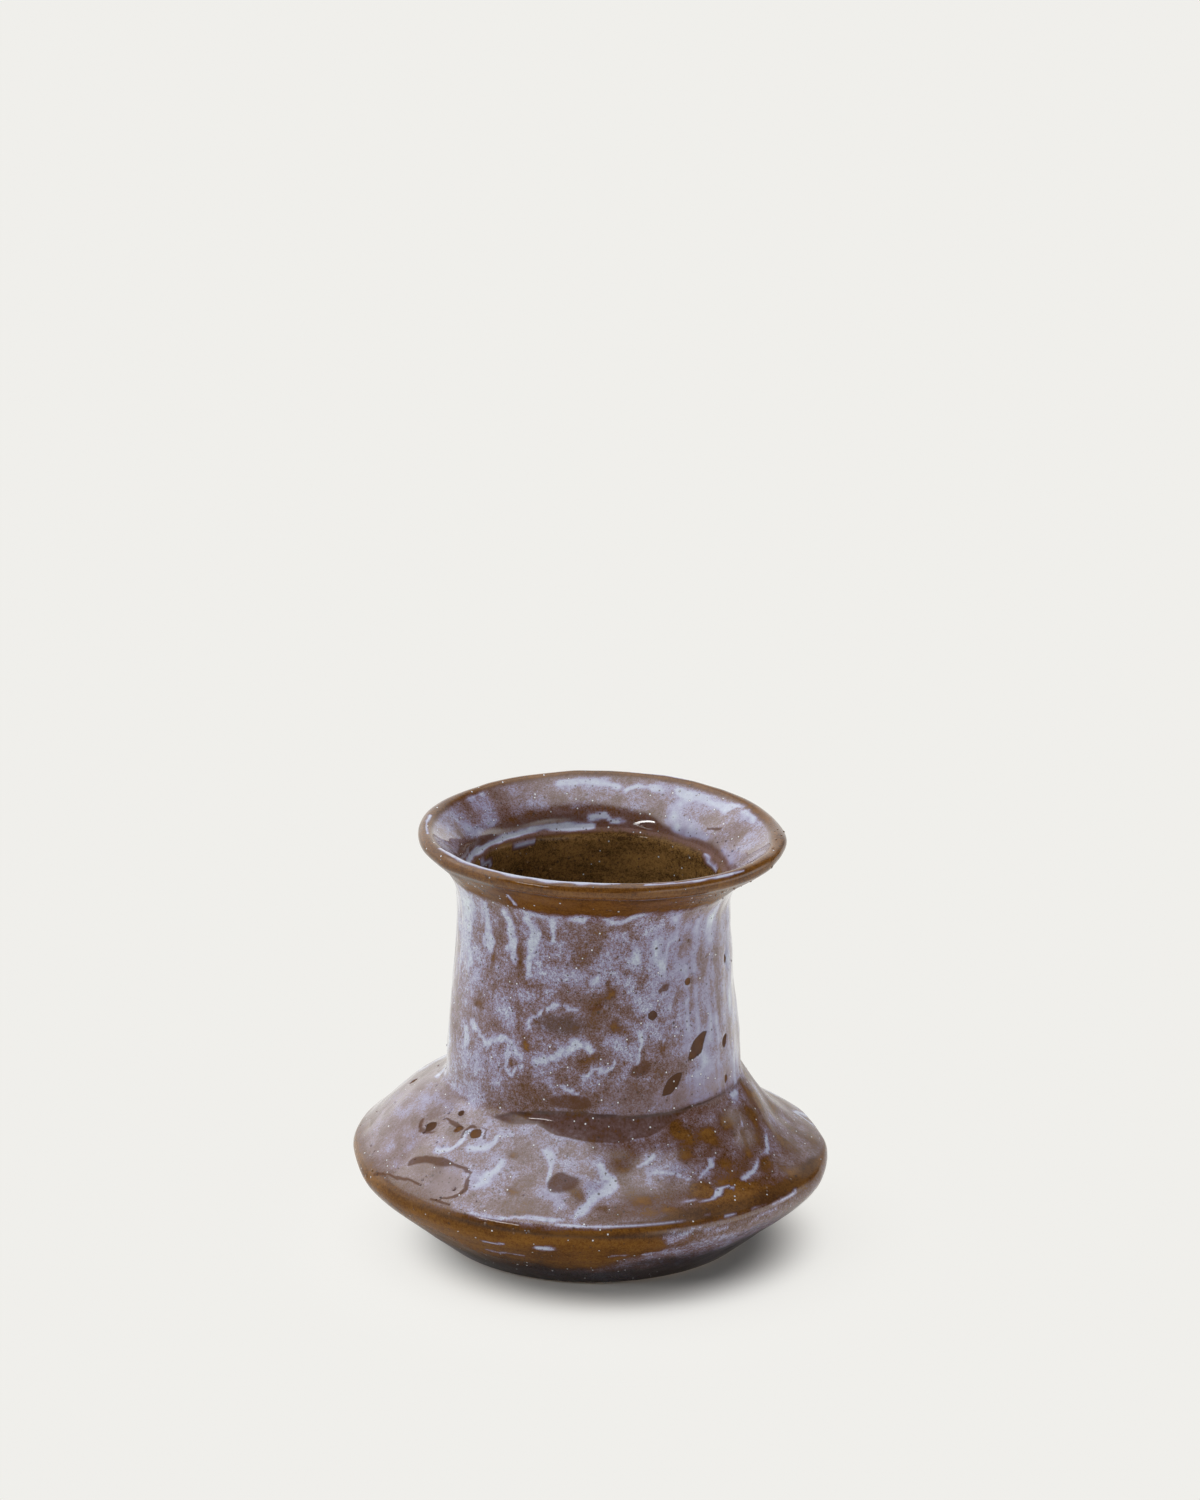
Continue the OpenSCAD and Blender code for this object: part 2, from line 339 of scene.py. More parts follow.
STAINS = [
    (1.1, [(-56, 45), (-52, 47.6), (-47, 48), (-43, 49)]), (0.7, [(-43, 49), (-36, 48.3)]),
    (0.6, [(-36, 46.4), (-34, 43.8), (-36, 41), (-40, 39)]), (0.5, [(-42, 37.8), (-36, 38.4)]),
    (0.45, [(-66, 36.5), (-60, 38.5), (-54, 40), (-49, 41)]), (0.5, [(-58, 61.5), (-48, 61)]),
    (0.5, [(-66, 56), (-62, 53.8), (-56, 55)]),
    (0.5, [(-46, 58), (-46, 63), (-39, 64), (-38, 60)]),
    (0.5, [(66, 169.5), (75, 166.5)]), (0.5, [(120, 163), (126, 165)]),
]
back_rng = np.random.default_rng(41)
back_count = 16
BACK_PITS = [
    (t, r, w, w * q, 0)
    for t, r, w, q in zip(
        back_rng.uniform(95, 265, back_count),
        back_rng.uniform(46, 118, back_count),
        back_rng.uniform(0.9, 2.6, back_count),
        back_rng.uniform(0.7, 1.5, back_count),
    )
]
print("marks:", len(PITS), "pits in front,", len(BACK_PITS), "behind,", len(DENTS), "dents")

# %% Height of the uneven wall
WALL_LUMPS = [(0.42, 22, 14, 1), (0.26, 9, 31, 2), (0.09, 4, 72, 3), (0.02, 2.2, 130, 9)]
LIP_LUMPS = [(0.2, 60, 23, 4), (0.1, 60, 61, 5)]
LEDGE_LUMPS = [(0.6, 60, 13, 7), (0.25, 60, 37, 8)]
pit_depth, fingertip_depth, groove_depth = 0.45, 0.5, 0.22
keel_bead, drip_rise = 0.18, 0.16


def hanging_drips(run, turn):
    """Drips under the collar: columns that are random in width, each with a length of its own."""
    sway = turn + 1.6 * noise(run, turn, 9, 40, 31)
    column = noise(run * 0, sway, 500, 84, 32)
    reach = 20 + 15 * noise(run * 0, sway, 500, 84, 33)
    return smooth(column / 0.7 + 0.2) * band(run, at["collar"] - reach, at["collar"] + 1, 12)


def lumps(run, turn):
    """Height in millimetres of the uneven wall over the even one, with every dent and pit.

    Noise of several sizes, plus bells for the bead and the groove, less exp(-spot^n) for each mark.
    """
    body = smooth((run - 4) / 12) * (1 - 0.6 * smooth((run - at["collar"]) / 8))
    body = body * (1 - smooth((run - at["neck_in"]) / 30))
    lip = smooth((run - at["collar"]) / 10) * (1 - smooth((run - at["lip_in"]) / 10))
    shelf = smooth((run - at["ledge"] + 5) / 5) * (1 - smooth((run - at["throat"]) / 9))
    total = body * layered(run, turn, WALL_LUMPS) + lip * layered(run, turn, LIP_LUMPS)
    total = total + shelf * layered(run, turn, LEDGE_LUMPS)
    groove = bell(run, at["lip_out"] - 1.2, 0.5) * smooth(0.5 + noise(run, turn, 60, 9, 6))
    total = total - groove_depth * groove + keel_bead * bell(run, at["keel"] + 0.8, 0.8)
    total = total + drip_rise * hanging_drips(run, turn)
    total = total - fingertip_depth * np.exp(-spot(run, turn, FINGERTIP) ** 6)
    for mark in PITS + BACK_PITS:
        total = total - pit_depth * np.exp(-spot(run, turn, mark) ** 4)
    for *mark, depth in DENTS:
        total = total - depth * np.exp(-spot(run, turn, mark) ** 2)
    return total


round_turns = np.arange(360.0)
keel_heights = lumps(np.full(360, at["keel"]), round_turns)
print("lumps round the keel from", keel_heights.min().round(2), "to", keel_heights.max().round(2), "mm")

# %% [markdown]
# ## The glaze fields
# Two coats made this glaze. The first is an amber brown that runs clear. The second lies over it in
# uneven thickness: thin it is mauve, thicker it turns violet, and where it pooled or ran it is ice
# blue. A texture alone would spread that evenly, but on the pot it follows the wall: drips hang
# under the rim, strokes curl on the shoulder, and the keel and the rim stay amber. So the thickness
# of the second coat is worked out over the wall and stored on the mesh, with the pits and the
# places where the glass is thin. The shader later breaks the borders into grains.
#
# Strokes are given as a half width and points of turn and run. The haze is wide and pale. Keel
# strokes lie on the amber of the bowl, and fine strokes are thin and stray little: on the keel's
# edge, along the lip and on the ledge inside. The strokes on the keel's edge are painted highlight,
# and so is part of one stroke just over the keel on the left; the line along the front of the lip is
# partly ice blue and partly painted highlight, and the ribbon on the ledge is partly ice blue and
# partly painted light on the ledge's top. The thin patch is a dark oval on the neck. The crease
# lists turn, top and bottom of the fold where the neck meets the shoulder, which is painted dark as
# shade.

# %% Strokes of ice blue
STROKES = [
    (2.0, [(-70, 124), (-62, 112)]), (1.1, [(-50, 131), (-50, 118)]), (1.2, [(-38, 131), (-34, 117)]),
    (1.1, [(-27, 130), (-26, 114)]), (1.0, [(-16, 131), (-18, 123)]),
    (1.9, [(-24, 133), (-13, 133.5), (-4, 133)]), (0.7, [(2, 133), (22, 133.5), (34, 137)]),
    (0.5, [(19, 96), (18, 89)]), (0.5, [(29, 94), (28, 89)]), (1.3, [(-18, 104), (-15, 104.5)]),
    (1.0, [(-11, 105), (-8, 104.5)]), (0.6, [(-22, 104), (-26, 101), (-25, 97)]),
    (1.1, [(-1, 112), (2, 113.5)]), (1.0, [(-24, 88), (-13, 91.5), (-3, 93.5), (-1, 91)]),
    (0.6, [(6, 90.5), (5, 87.5), (1, 85.5), (-4, 85.5)]), (0.9, [(-40, 94), (-31, 89)]),
    (0.8, [(-62, 92), (-60, 87)]), (0.9, [(-58, 94), (-48, 91), (-40, 92)]),
    (0.7, [(-37, 89), (-38, 84), (-32, 82), (-29, 86)]), (0.9, [(-10, 82), (-6, 79)]),
    (1.4, [(-16, 60), (-14, 56), (-13, 51)]), (1.0, [(-50, 51), (-47, 56), (-44, 61)]),
    (1.4, [(-33, 62), (-34, 59), (-42, 55)]), (1.1, [(1, 56), (5, 52), (0, 45), (-4, 41)]),
    (0.6, [(12, 56.4), (17, 59), (21, 61)]), (0.55, [(18, 53.8), (31, 53.2), (36, 54.5), (40, 57)]),
    (0.8, [(70, 56.4), (64, 52.5), (56, 51.8), (48, 48.5)]), (0.6, [(64, 68.8), (68, 68.4)]),
    (0.5, [(55, 60.3), (60, 61.5)]), (0.45, [(26, 45.8), (34, 45.8), (41, 46.4)]),
    # The stroke at run 38 to 39.5 over the keel on the left is partly ice blue and partly painted highlight.
    (1.2, [(-32, 47), (-27, 54)]), (0.7, [(-28, 38), (-8, 39.5)]), (0.8, [(-134, 155), (-128, 155)]),
    (1.3, [(-166, 156), (-178, 157), (174, 157)]), (1.2, [(170, 158), (158, 157)]),
    (1.4, [(150, 157), (134, 156), (118, 154.5)]), (1.2, [(114, 156), (108, 157)]),
    (0.9, [(-178, 166.5), (169, 167)]),
]
HAZE = [
    (1.0, [(24, 128), (26, 112), (21, 95)]), (1.1, [(51, 125), (40, 112), (28, 102)]),
    (0.9, [(38, 120), (31, 106)]), (1.1, [(62, 124), (52, 106), (45, 98)]),
    (2.6, [(-20, 114), (-8, 113)]), (2.8, [(0, 113), (6, 120), (10, 126)]),
    (2.4, [(-42, 104), (-34, 98)]), (2.2, [(-30, 106), (-24, 108)]), (2.4, [(14, 112), (20, 104)]),
    (2.2, [(8, 95), (14, 92)]), (2.4, [(-48, 86), (-40, 80)]), (2.0, [(-22, 84), (-16, 82)]),
]
KEEL_STROKES = [
    (0.7, [(18, 32), (27, 34.5), (35, 33.5)]), (0.6, [(5, 24), (9, 24)]), (0.6, [(14, 26), (24, 27)]),
    (0.6, [(26, 29), (36, 30)]), (0.5, [(40, 33), (48, 34.5)]), (0.5, [(-30, 21), (-20, 20)]),
]
FINE_STROKES = [
    (1.4, [(-12.5, 29), (-10.5, 29.2)]), (0.4, [(-28, 27.6), (-22, 28.8)]),
    # These two strokes on the keel's edge are painted highlight.
    (0.35, [(-8, 37.9), (8, 37.7), (20, 37.9), (30, 38.5)]), (0.35, [(34, 37), (48, 36.6), (60, 36.8)]),
    # The first stroke of this row, along the front of the lip, is partly ice blue and partly painted
    # highlight.
    (1.0, [(-66, 152), (-40, 151.8), (-20, 151.8), (6, 152)]), (0.5, [(14, 151), (50, 150.5)]),
    (0.5, [(-100, 152), (-82, 152)]), (0.6, [(-33, 141), (-32, 136)]), (0.5, [(150, 151), (170, 151.5)]),
    # This ribbon round the ledge, laid only at the left and back, is partly ice blue and partly painted
    # light on the ledge's top.
    (1.0, [(-92, 170), (-112, 170), (-130, 170.3), (-150, 170), (-166, 170), (-178, 170.3)]),
    (0.7, [(-112, 174), (-122, 176)]), (0.6, [(-138, 174), (-150, 173.5)]), (0.8, [(100, 173), (118, 173)]),
]
print("strokes in front:", len(STROKES + HAZE + KEEL_STROKES + FINE_STROKES))

# %% Thin patch, crease and amber spots
THIN_PATCH = (-14, 99.5, 8, 3.4, 0)
CREASE = [
    (-180, 71, 71), (-60, 70, 70), (-42, 68.5, 68.5), (-33, 71.2, 67.7), (-22, 73.1, 69.2),
    (-14, 73.8, 66.6), (-3, 74, 64.9), (10, 72.7, 64.9), (20, 72, 66.2), (30, 71.7, 69.2),
    (42, 72.1, 71.4), (60, 72.1, 72.1), (80, 70.8, 70.8), (92, 70, 70), (180, 71, 71),
]
AMBER_SPOTS = [
    (-32, 118.5, 0.9, 3.0, 0), (-48, 116.6, 0.9, 2.0, 0), (5, 109, 1.0, 3.0, -30),
    (10, 98.5, 2.4, 0.8, 0), (-1, 88.8, 2.8, 1.2, 25), (-28, 93, 1.4, 1.3, 0), (-34, 86, 1.2, 1.0, 0),
    (-53, 101, 1.9, 1.1, 0), (57, 58, 2.2, 3.2, 0), (44, 55, 3.0, 2.6, 0), (60, 50, 3.0, 2.6, 0),
    (46, 45, 3.6, 2.0, 0), (33, 60, 2.6, 2.0, 0), (28, 90, 1.4, 1.8, 0), (14, 47, 3.6, 1.7, 0),
    (3, 44, 2.0, 1.3, 0), (-2, 48, 2.0, 1.5, 0), (9, 56, 1.8, 1.2, 0), (-21, 47, 1.5, 1.2, 0),
    (22, 43, 3.2, 1.1, 0), (-24, 57, 1.4, 1.2, 0),
]
print("amber spots:", len(AMBER_SPOTS))

# %% Strokes behind the pot
stroke_rng = np.random.default_rng(7)


def back_stroke():
    """A short curl behind the pot: three points, each a small random step from the last."""
    start = np.array([stroke_rng.uniform(88, 272), stroke_rng.uniform(42, 104)])
    hops = stroke_rng.uniform([-9, -7], [9, 7], (3, 2))
    return float(stroke_rng.uniform(0.8, 1.5)), start + np.cumsum(hops, axis=0)


BACK_STROKES = [back_stroke() for _ in range(46)]
print("strokes behind:", len(BACK_STROKES))

# %% [markdown]
# ### Zones of the wall
# The glaze behaves by zone: it is milky low on the neck, worn on the front of the shoulder, thick
# inside the flare. A mask could be painted by hand for each, but a formula is exact on any grid, so
# a zone is a band of runs times a stretch of turns. Clouds of noise make its borders wander, and
# the same noise makes the edges of the strokes stray.


# %% Zones and how far edges stray
def wall_zones(run, turn):
    """Shares from 0 to 1 of each zone of the wall, and the clouds and borders that shape them.

    A zone is a band of runs times a stretch of turns. The functions that follow call the result z.
    """
    cloud = layered(run, turn, [(0.6, 6, 44, 11), (0.4, 2.8, 96, 12)])
    patch = noise(run, turn, 15, 18, 16)
    crease_turn, crease_top, crease_low = np.array(CREASE).T
    swing = (turn + 180) % 360 - 180
    neck_edge = np.interp(swing, crease_turn, crease_top) + 0.4 * cloud
    fold_edge = np.interp(swing, crease_turn, crease_low) + 0.4 * cloud
    above_crease = smooth((run - neck_edge) / 1.2 + 0.5)
    flare_end = at["ledge"] - 5 + 4 * near_turn(turn, 110, 40, 30) + 1.6 * patch + cloud
    return SimpleNamespace(
        run=run,
        turn=turn,
        cloud=cloud,
        patch=patch,
        wander=layered(run, turn, [(2.2, 6, 46, 21), (1.2, 2.6, 110, 22)]),
        climb=layered(run, turn, [(1.7, 6, 46, 23), (0.9, 2.6, 110, 24)]),
        uneven=1 + 0.5 * noise(run, turn, 5, 60, 25),
        right=near_turn(turn, 62, 30, 24),
        left=near_turn(turn, -75, 30, 24),
        keel_right=near_turn(turn + 9 * cloud, 48, 34, 26),
        neck_edge=neck_edge,
        crease=np.minimum(neck_edge - run, run - fold_edge),
        neck=above_crease * band(run, 0, at["collar"] - 1, 8),
        shoulder=(1 - above_crease) * band(run, at["keel"] + 1, at["end"], 6),
        milky=band(run, neck_edge, neck_edge + 8, 4) * near_turn(turn, 36, 34, 20),
        worn=near_turn(turn, 28, 34, 30) * band(run, at["keel"] + 1, at["keel"] + 12, 8),
        facing=near_turn(turn, -16, 30, 24) * band(run, at["keel"] + 5, at["neck_foot"], 8),
        # Strip under the keel on the right: full gloss, and less amber there as a partly painted reflection
        # of the floor.
        sheen_strip=near_turn(turn, 62, 40, 24) * band(run, at["keel"] - 9, at["keel"], 4),
        lip=band(run, at["lip_out"] - 0.5, at["lip_in"] + 0.5, 1),
        flare_end=flare_end,
        flare=band(run, at["lip_in"] + 0.5, flare_end, 2.4),
        fingertip=np.exp(-spot(run, turn, FINGERTIP) ** 6),
        thin_patch=np.exp(-spot(run, turn, THIN_PATCH) ** 4),
    )


front = wall_zones(np.array([at["neck_foot"]]), np.array([0.0]))
print("known about a place on the wall:", sorted(vars(front)))


# %% Distance to a stroke, and laying it
def to_curve(run, turn, points):
    """Least distance in millimetres to a line of places on the wall, over its straight stretches.

    On a stretch the nearest point lies at the share t, from 0 to 1, that the step to it projects to.
    """
    best = np.full(np.broadcast(run, turn).shape, 99.0)
    for (turn_a, run_a), (turn_b, run_b) in zip(points, points[1:]):
        x, y = offset(run, turn, turn_a, run_a)
        swing = (turn_b - turn_a + 180) % 360 - 180
        wide, high = np.radians(swing) * radius_at(run), run_b - run_a
        t = np.clip((x * wide + y * high) / (wide * wide + high * high), 0, 1)
        best = np.minimum(best, np.hypot(x - t * wide, y - t * high))
    return best


core_edge, core_soft = 1.5, 0.9
halo_edge, halo_soft, halo = 3.4, 2.4, 0.05


def stroked(coat, z, strokes, stray, peak):
    """The coat with strokes laid over it, up to a peak, whose edges stray by a share of the wander.

    Distance is counted in half widths: the core rises to the peak, and a faint halo lies round it.
    """
    for half, points in strokes:
        away = to_curve(z.run + stray * z.climb, z.turn + stray * z.wander, points)
        away = away / (half * z.uneven)
        coat = coat + np.maximum(peak - coat, 0) * smooth((core_edge - away) / core_soft)
        coat = coat + halo * smooth((halo_edge - away) / halo_soft) * (1 - coat)
    return coat


first_stroke = STROKES[0][1]
print("first stroke is", to_curve(front.run, front.turn, first_stroke).round(1), "mm from the front")

# %% [markdown]
# ### The second coat
# Its thickness starts even and is then thickened and thinned zone by zone: clouds and curls on the
# neck and the shoulder, vertical runs on the right of the neck, drips under the collar. The strokes
# come next, then the amber, which cuts the coat away at the keel, the rim and in spots, and last the
# few strokes that lie on the amber.

# %% Thickness of the second coat
even_coat, milky_coat, fingertip_coat, flare_coat = 0.45, 0.46, 0.42, 0.56
haze_peak, stroke_peak, keel_peak, fine_peak = 0.62, 0.82, 0.58, 0.84


def laid_coat(z):
    """The even coat plus or less a share of each zone, without its strokes."""
    run, turn = z.run, z.turn
    outside, by_foot = band(run, -9, at["collar"] + 1, 3), band(run, -9, 15, 9)
    bare = smooth(noise(run, turn, 7, 56, 17) / 0.7)
    curl = np.clip(1 - np.abs(noise(run, turn, 6, 50, 15)) / 0.2, 0, 1) * smooth(z.patch + 0.5)
    runs_down = 0.15 + 0.16 * noise(run, turn, 26, 150, 34)
    coat = outside * (even_coat + 0.08 * z.patch) + 0.2 * (z.neck + z.shoulder + 1.4 * by_foot) * z.cloud
    coat = coat - 0.045 * z.neck * (1 - z.left) * (1 - z.right)
    coat = coat - 0.27 * z.worn + 0.14 * z.facing * z.shoulder
    coat = coat + 0.13 * (z.shoulder + 0.6 * z.neck) * noise(run, turn, 3.2, 84, 18)
    coat = coat - (0.27 * z.shoulder + 0.1 * z.neck) * bare * (1 - 0.6 * z.left)
    coat = coat + (0.13 * z.neck - 0.05 * z.shoulder) * z.left
    coat = coat + (z.neck * runs_down - 0.1 * z.shoulder) * z.right
    coat = coat + 0.6 * z.milky * (milky_coat - coat) - 0.18 * z.thin_patch
    coat = coat + z.flare * (flare_coat + 0.32 * z.cloud + 0.12 * z.patch)
    coat = coat + 0.2 * band(run, z.flare_end, at["ledge"] + 2, 3)
    coat = coat + 0.7 * z.fingertip * (fingertip_coat - coat)
    coat = coat + 0.22 * hanging_drips(run, turn)
    return coat + (0.16 * z.shoulder + 0.1 * z.neck) * curl * (1 - 0.7 * z.left)


def amber_share(z):
    """1 where the amber shows and 0 under the second coat: the keel, the rim and the spots."""
    keel_left = near_turn(z.turn, -78, 40, 20)
    low = 19 + 4 * z.patch + 9 * z.keel_right - 12 * near_turn(z.turn, -34, 30, 36)
    high = at["keel"] + 0.3 + 0.7 * z.cloud + 5 * z.keel_right + 2 * keel_left
    low_soft, high_soft = 5 - 2 * z.keel_right, 1.4 + 7 * keel_left + 3 * z.keel_right
    keel_amber = smooth((z.run - low) / low_soft + 0.5) * smooth((high - z.run) / high_soft + 0.5)
    rim_amber = band(z.run, at["collar"] + 0.4 + 1.6 * z.cloud, at["lip_in"] + 0.3 + z.cloud, 2.4)
    # Partly painted reflection: under the keel on the right the amber is cut back so that the mauve coat
    # shows.
    amber = np.maximum(keel_amber * (1 - 0.58 * z.sheen_strip), rim_amber)
    for mark in AMBER_SPOTS:
        away = spot(z.run + z.climb, z.turn + z.wander, mark)
        amber = np.maximum(amber, 0.9 * smooth((1.8 - away) / 1.6))
    return amber


def second_coat(z, amber):
    """Thickness of the second coat from 0 to 1, with its strokes, cut away where the amber shows."""
    coat = stroked(laid_coat(z), z, HAZE, 1, haze_peak)
    coat = stroked(coat, z, STROKES + BACK_STROKES, 1, stroke_peak)
    coat = stroked(coat * (1 - 0.92 * amber), z, KEEL_STROKES, 1, keel_peak)
    return np.clip(stroked(coat, z, FINE_STROKES, 0.2, fine_peak), 0, 1)


front_amber = amber_share(front)
print("coat at the front of the crease:", second_coat(front, front_amber).round(2))

# %% [markdown]
# ### Pits, gloss, grain, pools and painted shade
# Four more fields go with the coat. Pits and stains are brown. Gloss is less where the glaze is
# thin or matt: under the keel and the collar, on the ledge and in the fold. Grain is the sugar of
# fine crystals, which melts away where the glaze ran smooth. The last field darkens the colour:
# round the foot it is partly glass that pooled thick and partly painted shade, and under the keel's
# edge, over it on the right, at the crease and below the lip it is painted shade.


# %% Pits and stains
def pits_and_stains(z):
    """For pits 1 in the middle and a half at the edge, and for stains 1 on the stain and 0 off it."""
    dark = stain = np.zeros(np.broadcast(z.run, z.turn).shape)
    for mark in PITS + BACK_PITS:
        away = spot(z.run + 0.3 * z.climb, z.turn + 0.3 * z.wander, mark, 1.5)
        dark = np.maximum(dark, 1 - 0.5 * away)
    for half, points in STAINS:
        away = to_curve(z.run + 0.5 * z.climb, z.turn + 0.5 * z.wander, points) / (half * z.uneven)
        stain = np.maximum(stain, smooth((1.8 - away) / 1.4))
    for mark in SMUDGES:
        away = spot(z.run + 0.6 * z.climb, z.turn + 0.6 * z.wander, mark, 1.7)
        stain = np.maximum(stain, smooth((1.65 - away) / 0.9))
    return dark, stain


print("pit and stain at the front:", [field.round(2) for field in pits_and_stains(front)])


# %% Gloss, grain and pools
def clear_gloss(z, amber):
    """Weight of the clear glass from 0 to 1: all of it, less a share for each zone in the list."""
    run, turn = z.run, z.turn
    under_keel = band(run, -9, at["keel"] - 1.5, 3) * (1 - z.sheen_strip)
    under_collar = band(run, at["collar"], at["lip_out"] - 1, 3)
    on_ledge = band(run, at["ledge"] - 2, at["throat"] + 2, 2)
    far_right = near_turn(turn, 100, 34, 24) * band(run, at["keel"] - 5, at["neck_foot"] + 6, 6)
    seam = near_turn(turn, 58, 24, 16) * band(run, z.neck_edge - 5, z.neck_edge + 1.5, 2)
    glint = near_turn(turn, -24, 8, 8)
    less = [
        0.9 * (under_keel + under_collar),
        0.5 * amber * (1 - z.lip) * (1 - z.sheen_strip),
        0.9 * on_ledge,
        0.7 * far_right,
        0.5 * z.neck * near_turn(turn, -2, 40, 30),
        0.4 * z.lip,
        smooth(z.crease + 0.5) * (0.92 - 0.5 * glint),
        0.85 * seam,
        0.65 * z.worn,
    ]
    gloss = 1.0
    for share in less:
        gloss = gloss * (1 - share)
    return gloss


def grain_share(z, coat):
    """How far the shader breaks the coat into grains: less where it is thin, smooth or thick."""
    calm = 0.4 * (z.shoulder * (0.5 + 0.6 * z.left) + z.neck * z.right + z.milky)
    calm = calm + 0.7 * z.lip + 0.5 * z.fingertip + 0.25 * z.flare
    calm = calm + 0.6 * band(z.run, at["ledge"] - 4, at["end"], 4)
    calm = calm + 0.55 * smooth((coat - 0.56) / 0.2)
    return (0.12 + 0.88 * smooth(coat / 0.3)) * (1 - np.minimum(calm, 0.8))


def pools_and_painted_shade(z, coat):
    """1 where the colour darkens: round the foot, along four edges and on the thin patch.

    Round the foot it is partly pooled glass and partly painted shade, along the edges painted shade.
    """
    run, turn = z.run, z.turn
    # Partly glass pooled round the foot and partly painted shade under the bowl, reaching higher on the
    # right.
    foot_pool_and_shade = band(run, -9, 14 + 5 * z.keel_right + 3 * z.cloud, 13)
    # Painted shade: under the keel's edge, over it on the right, at the crease and below the lip.
    edges = 0.7 * bell(run, at["keel"] - 1.4, 0.8) * near_turn(turn, -10, 34, 30)
    edges = edges + 0.45 * z.keel_right * band(run, at["keel"] + 0.6, at["keel"] + 5, 2)
    edges = edges + 0.5 * bell(run, z.neck_edge - 0.4, 0.5) * near_turn(turn, 22, 58, 16)
    edges = edges + 0.5 * bell(run, at["lip_out"] - 1.2, 0.6)
    edges = edges + 0.4 * z.thin_patch * (1 - smooth((coat - 0.4) / 0.2))
    return np.maximum(foot_pool_and_shade, edges)


print("gloss at the front:", clear_gloss(front, front_amber).round(2))


# %% All the fields of a place
def glaze_fields(run, turn):
    """The seven fields of the glaze, each from 0 to 1, for runs and turns of any grid.

    In the crease field a half is the border of the fold, and 8 mm of depth change it by 1.
    """
    z = wall_zones(run, turn)
    amber = amber_share(z)
    coat = second_coat(z, amber)
    dark, stain = pits_and_stains(z)
    return {
        "coat": coat,
        "dark": dark,
        "stain": stain,
        "gloss": clear_gloss(z, amber),
        "grainy": grain_share(z, coat),
        "deep": pools_and_painted_shade(z, coat),
        "crease": np.clip(0.5 + z.crease / 8, 0, 1),
    }


FIELDS = list(glaze_fields(front.run, front.turn))
print("fields of the glaze:", FIELDS)

# %% [markdown]
# ## From grid to mesh
# A piece is a loop of places along the profile, some on the face of the glaze and some on the clay
# under it, carried once round the pot. That gives a grid of points, and neighbouring rings make
# the faces. Where a piece closes on the axis, as the lining does at the floor, its end rings
# meet in one point.

# %% Points and faces of a wall
AROUND = 560


def wall_points(run, lift, turn):
    """Points of the wall in millimetres: the clay line moved off by a lift and the lumps, then formed."""
    off = lift + lumps(run, turn)
    on_line = [np.interp(run, run_of, line[:, k]) for k in (0, 1)]
    outward = [np.interp(run, run_of, normal[:, k]) for k in (0, 1)]
    return formed(on_line[0] + off * outward[0], on_line[1] + off * outward[1], turn)


def grid_faces(rings, around, closed):
    """Corner numbers of the faces between neighbouring rings, in the order that faces outwards."""
    i = np.arange(rings if closed else rings - 1)[:, None]
    j = np.arange(around)[None, :]
    n, k = (i + 1) % rings, (j + 1) % around
    quads = [i * around + j, i * around + k, n * around + k, n * around + j]
    return np.stack(quads, -1).reshape(-1, 4)


def cap_faces(rings, around):
    """Corner numbers of the fans from two poles, numbered after the grid, to its end rings."""
    j = np.arange(around)
    k = (j + 1) % around
    first, top = rings * around, (rings - 1) * around
    low = np.stack([np.full(around, first), k, j], -1)
    return low, np.stack([np.full(around, first + 1), top + j, top + k], -1)


print("a ring has", AROUND, "points")

# %% [markdown]
# Gas that left the clay in the kiln raised small blisters in the glaze, and each one catches the
# light. They could be drawn as white dots, but then they would shine on the dark side too. So each
# is a small flattened ball, half sunk in the glaze, and the light makes its own dot. They lie in
# patches, given as a count, the turns, the runs and the largest radius in millimetres, and one
# larger bubble lies in the fingertip's dent.

# %% Where the blisters lie
BLISTERS = [
    (30, (-78, 0), (33, 47), 0.5), (10, (-66, -40), (50, 66), 0.7), (50, (0, 60), (98, 134), 0.4),
    (24, (0, 70), (135, 145), 0.4), (26, (10, 75), (38, 66), 0.45), (30, (-60, 0), (74, 130), 0.4),
    (26, (-170, -95), (175, 196), 0.7), (8, (95, 130), (164, 170), 0.7),
    (10, (40, 110), (147, 153), 0.45), (14, (-150, -100), (158, 168), 0.5),
    (60, (80, 280), (34, 130), 0.45),
]
fingertip_bubble = (-38, 43, 0.8)
blister_rng = np.random.default_rng(52)
patches = [
    blister_rng.uniform((turns[0], runs[0], 0.5 * radius), (turns[1], runs[1], radius), (count, 3))
    for count, turns, runs, radius in BLISTERS
]
blister_marks = np.concatenate([[fingertip_bubble], *patches])
print("blisters:", len(blister_marks))

# %% Shape of a blister
BALL_RINGS, BALL_AROUND, blister_rise = 3, 8, 0.6
ball_up = np.radians([[-35], [10], [50]])
ball_round = np.arange(BALL_AROUND) * 2 * math.pi / BALL_AROUND
ball_x, ball_y = np.cos(ball_up) * np.cos(ball_round), np.cos(ball_up) * np.sin(ball_round)
ball = np.stack([ball_x, ball_y, np.sin(ball_up) + 0 * ball_round], -1).reshape(-1, 3)
ball = np.concatenate([ball, [[0, 0, -1], [0, 0, 1]]])


def unit(v):
    """Directions of length 1: each step divided by its own length."""
    return v / np.linalg.norm(v, axis=-1, keepdims=True)


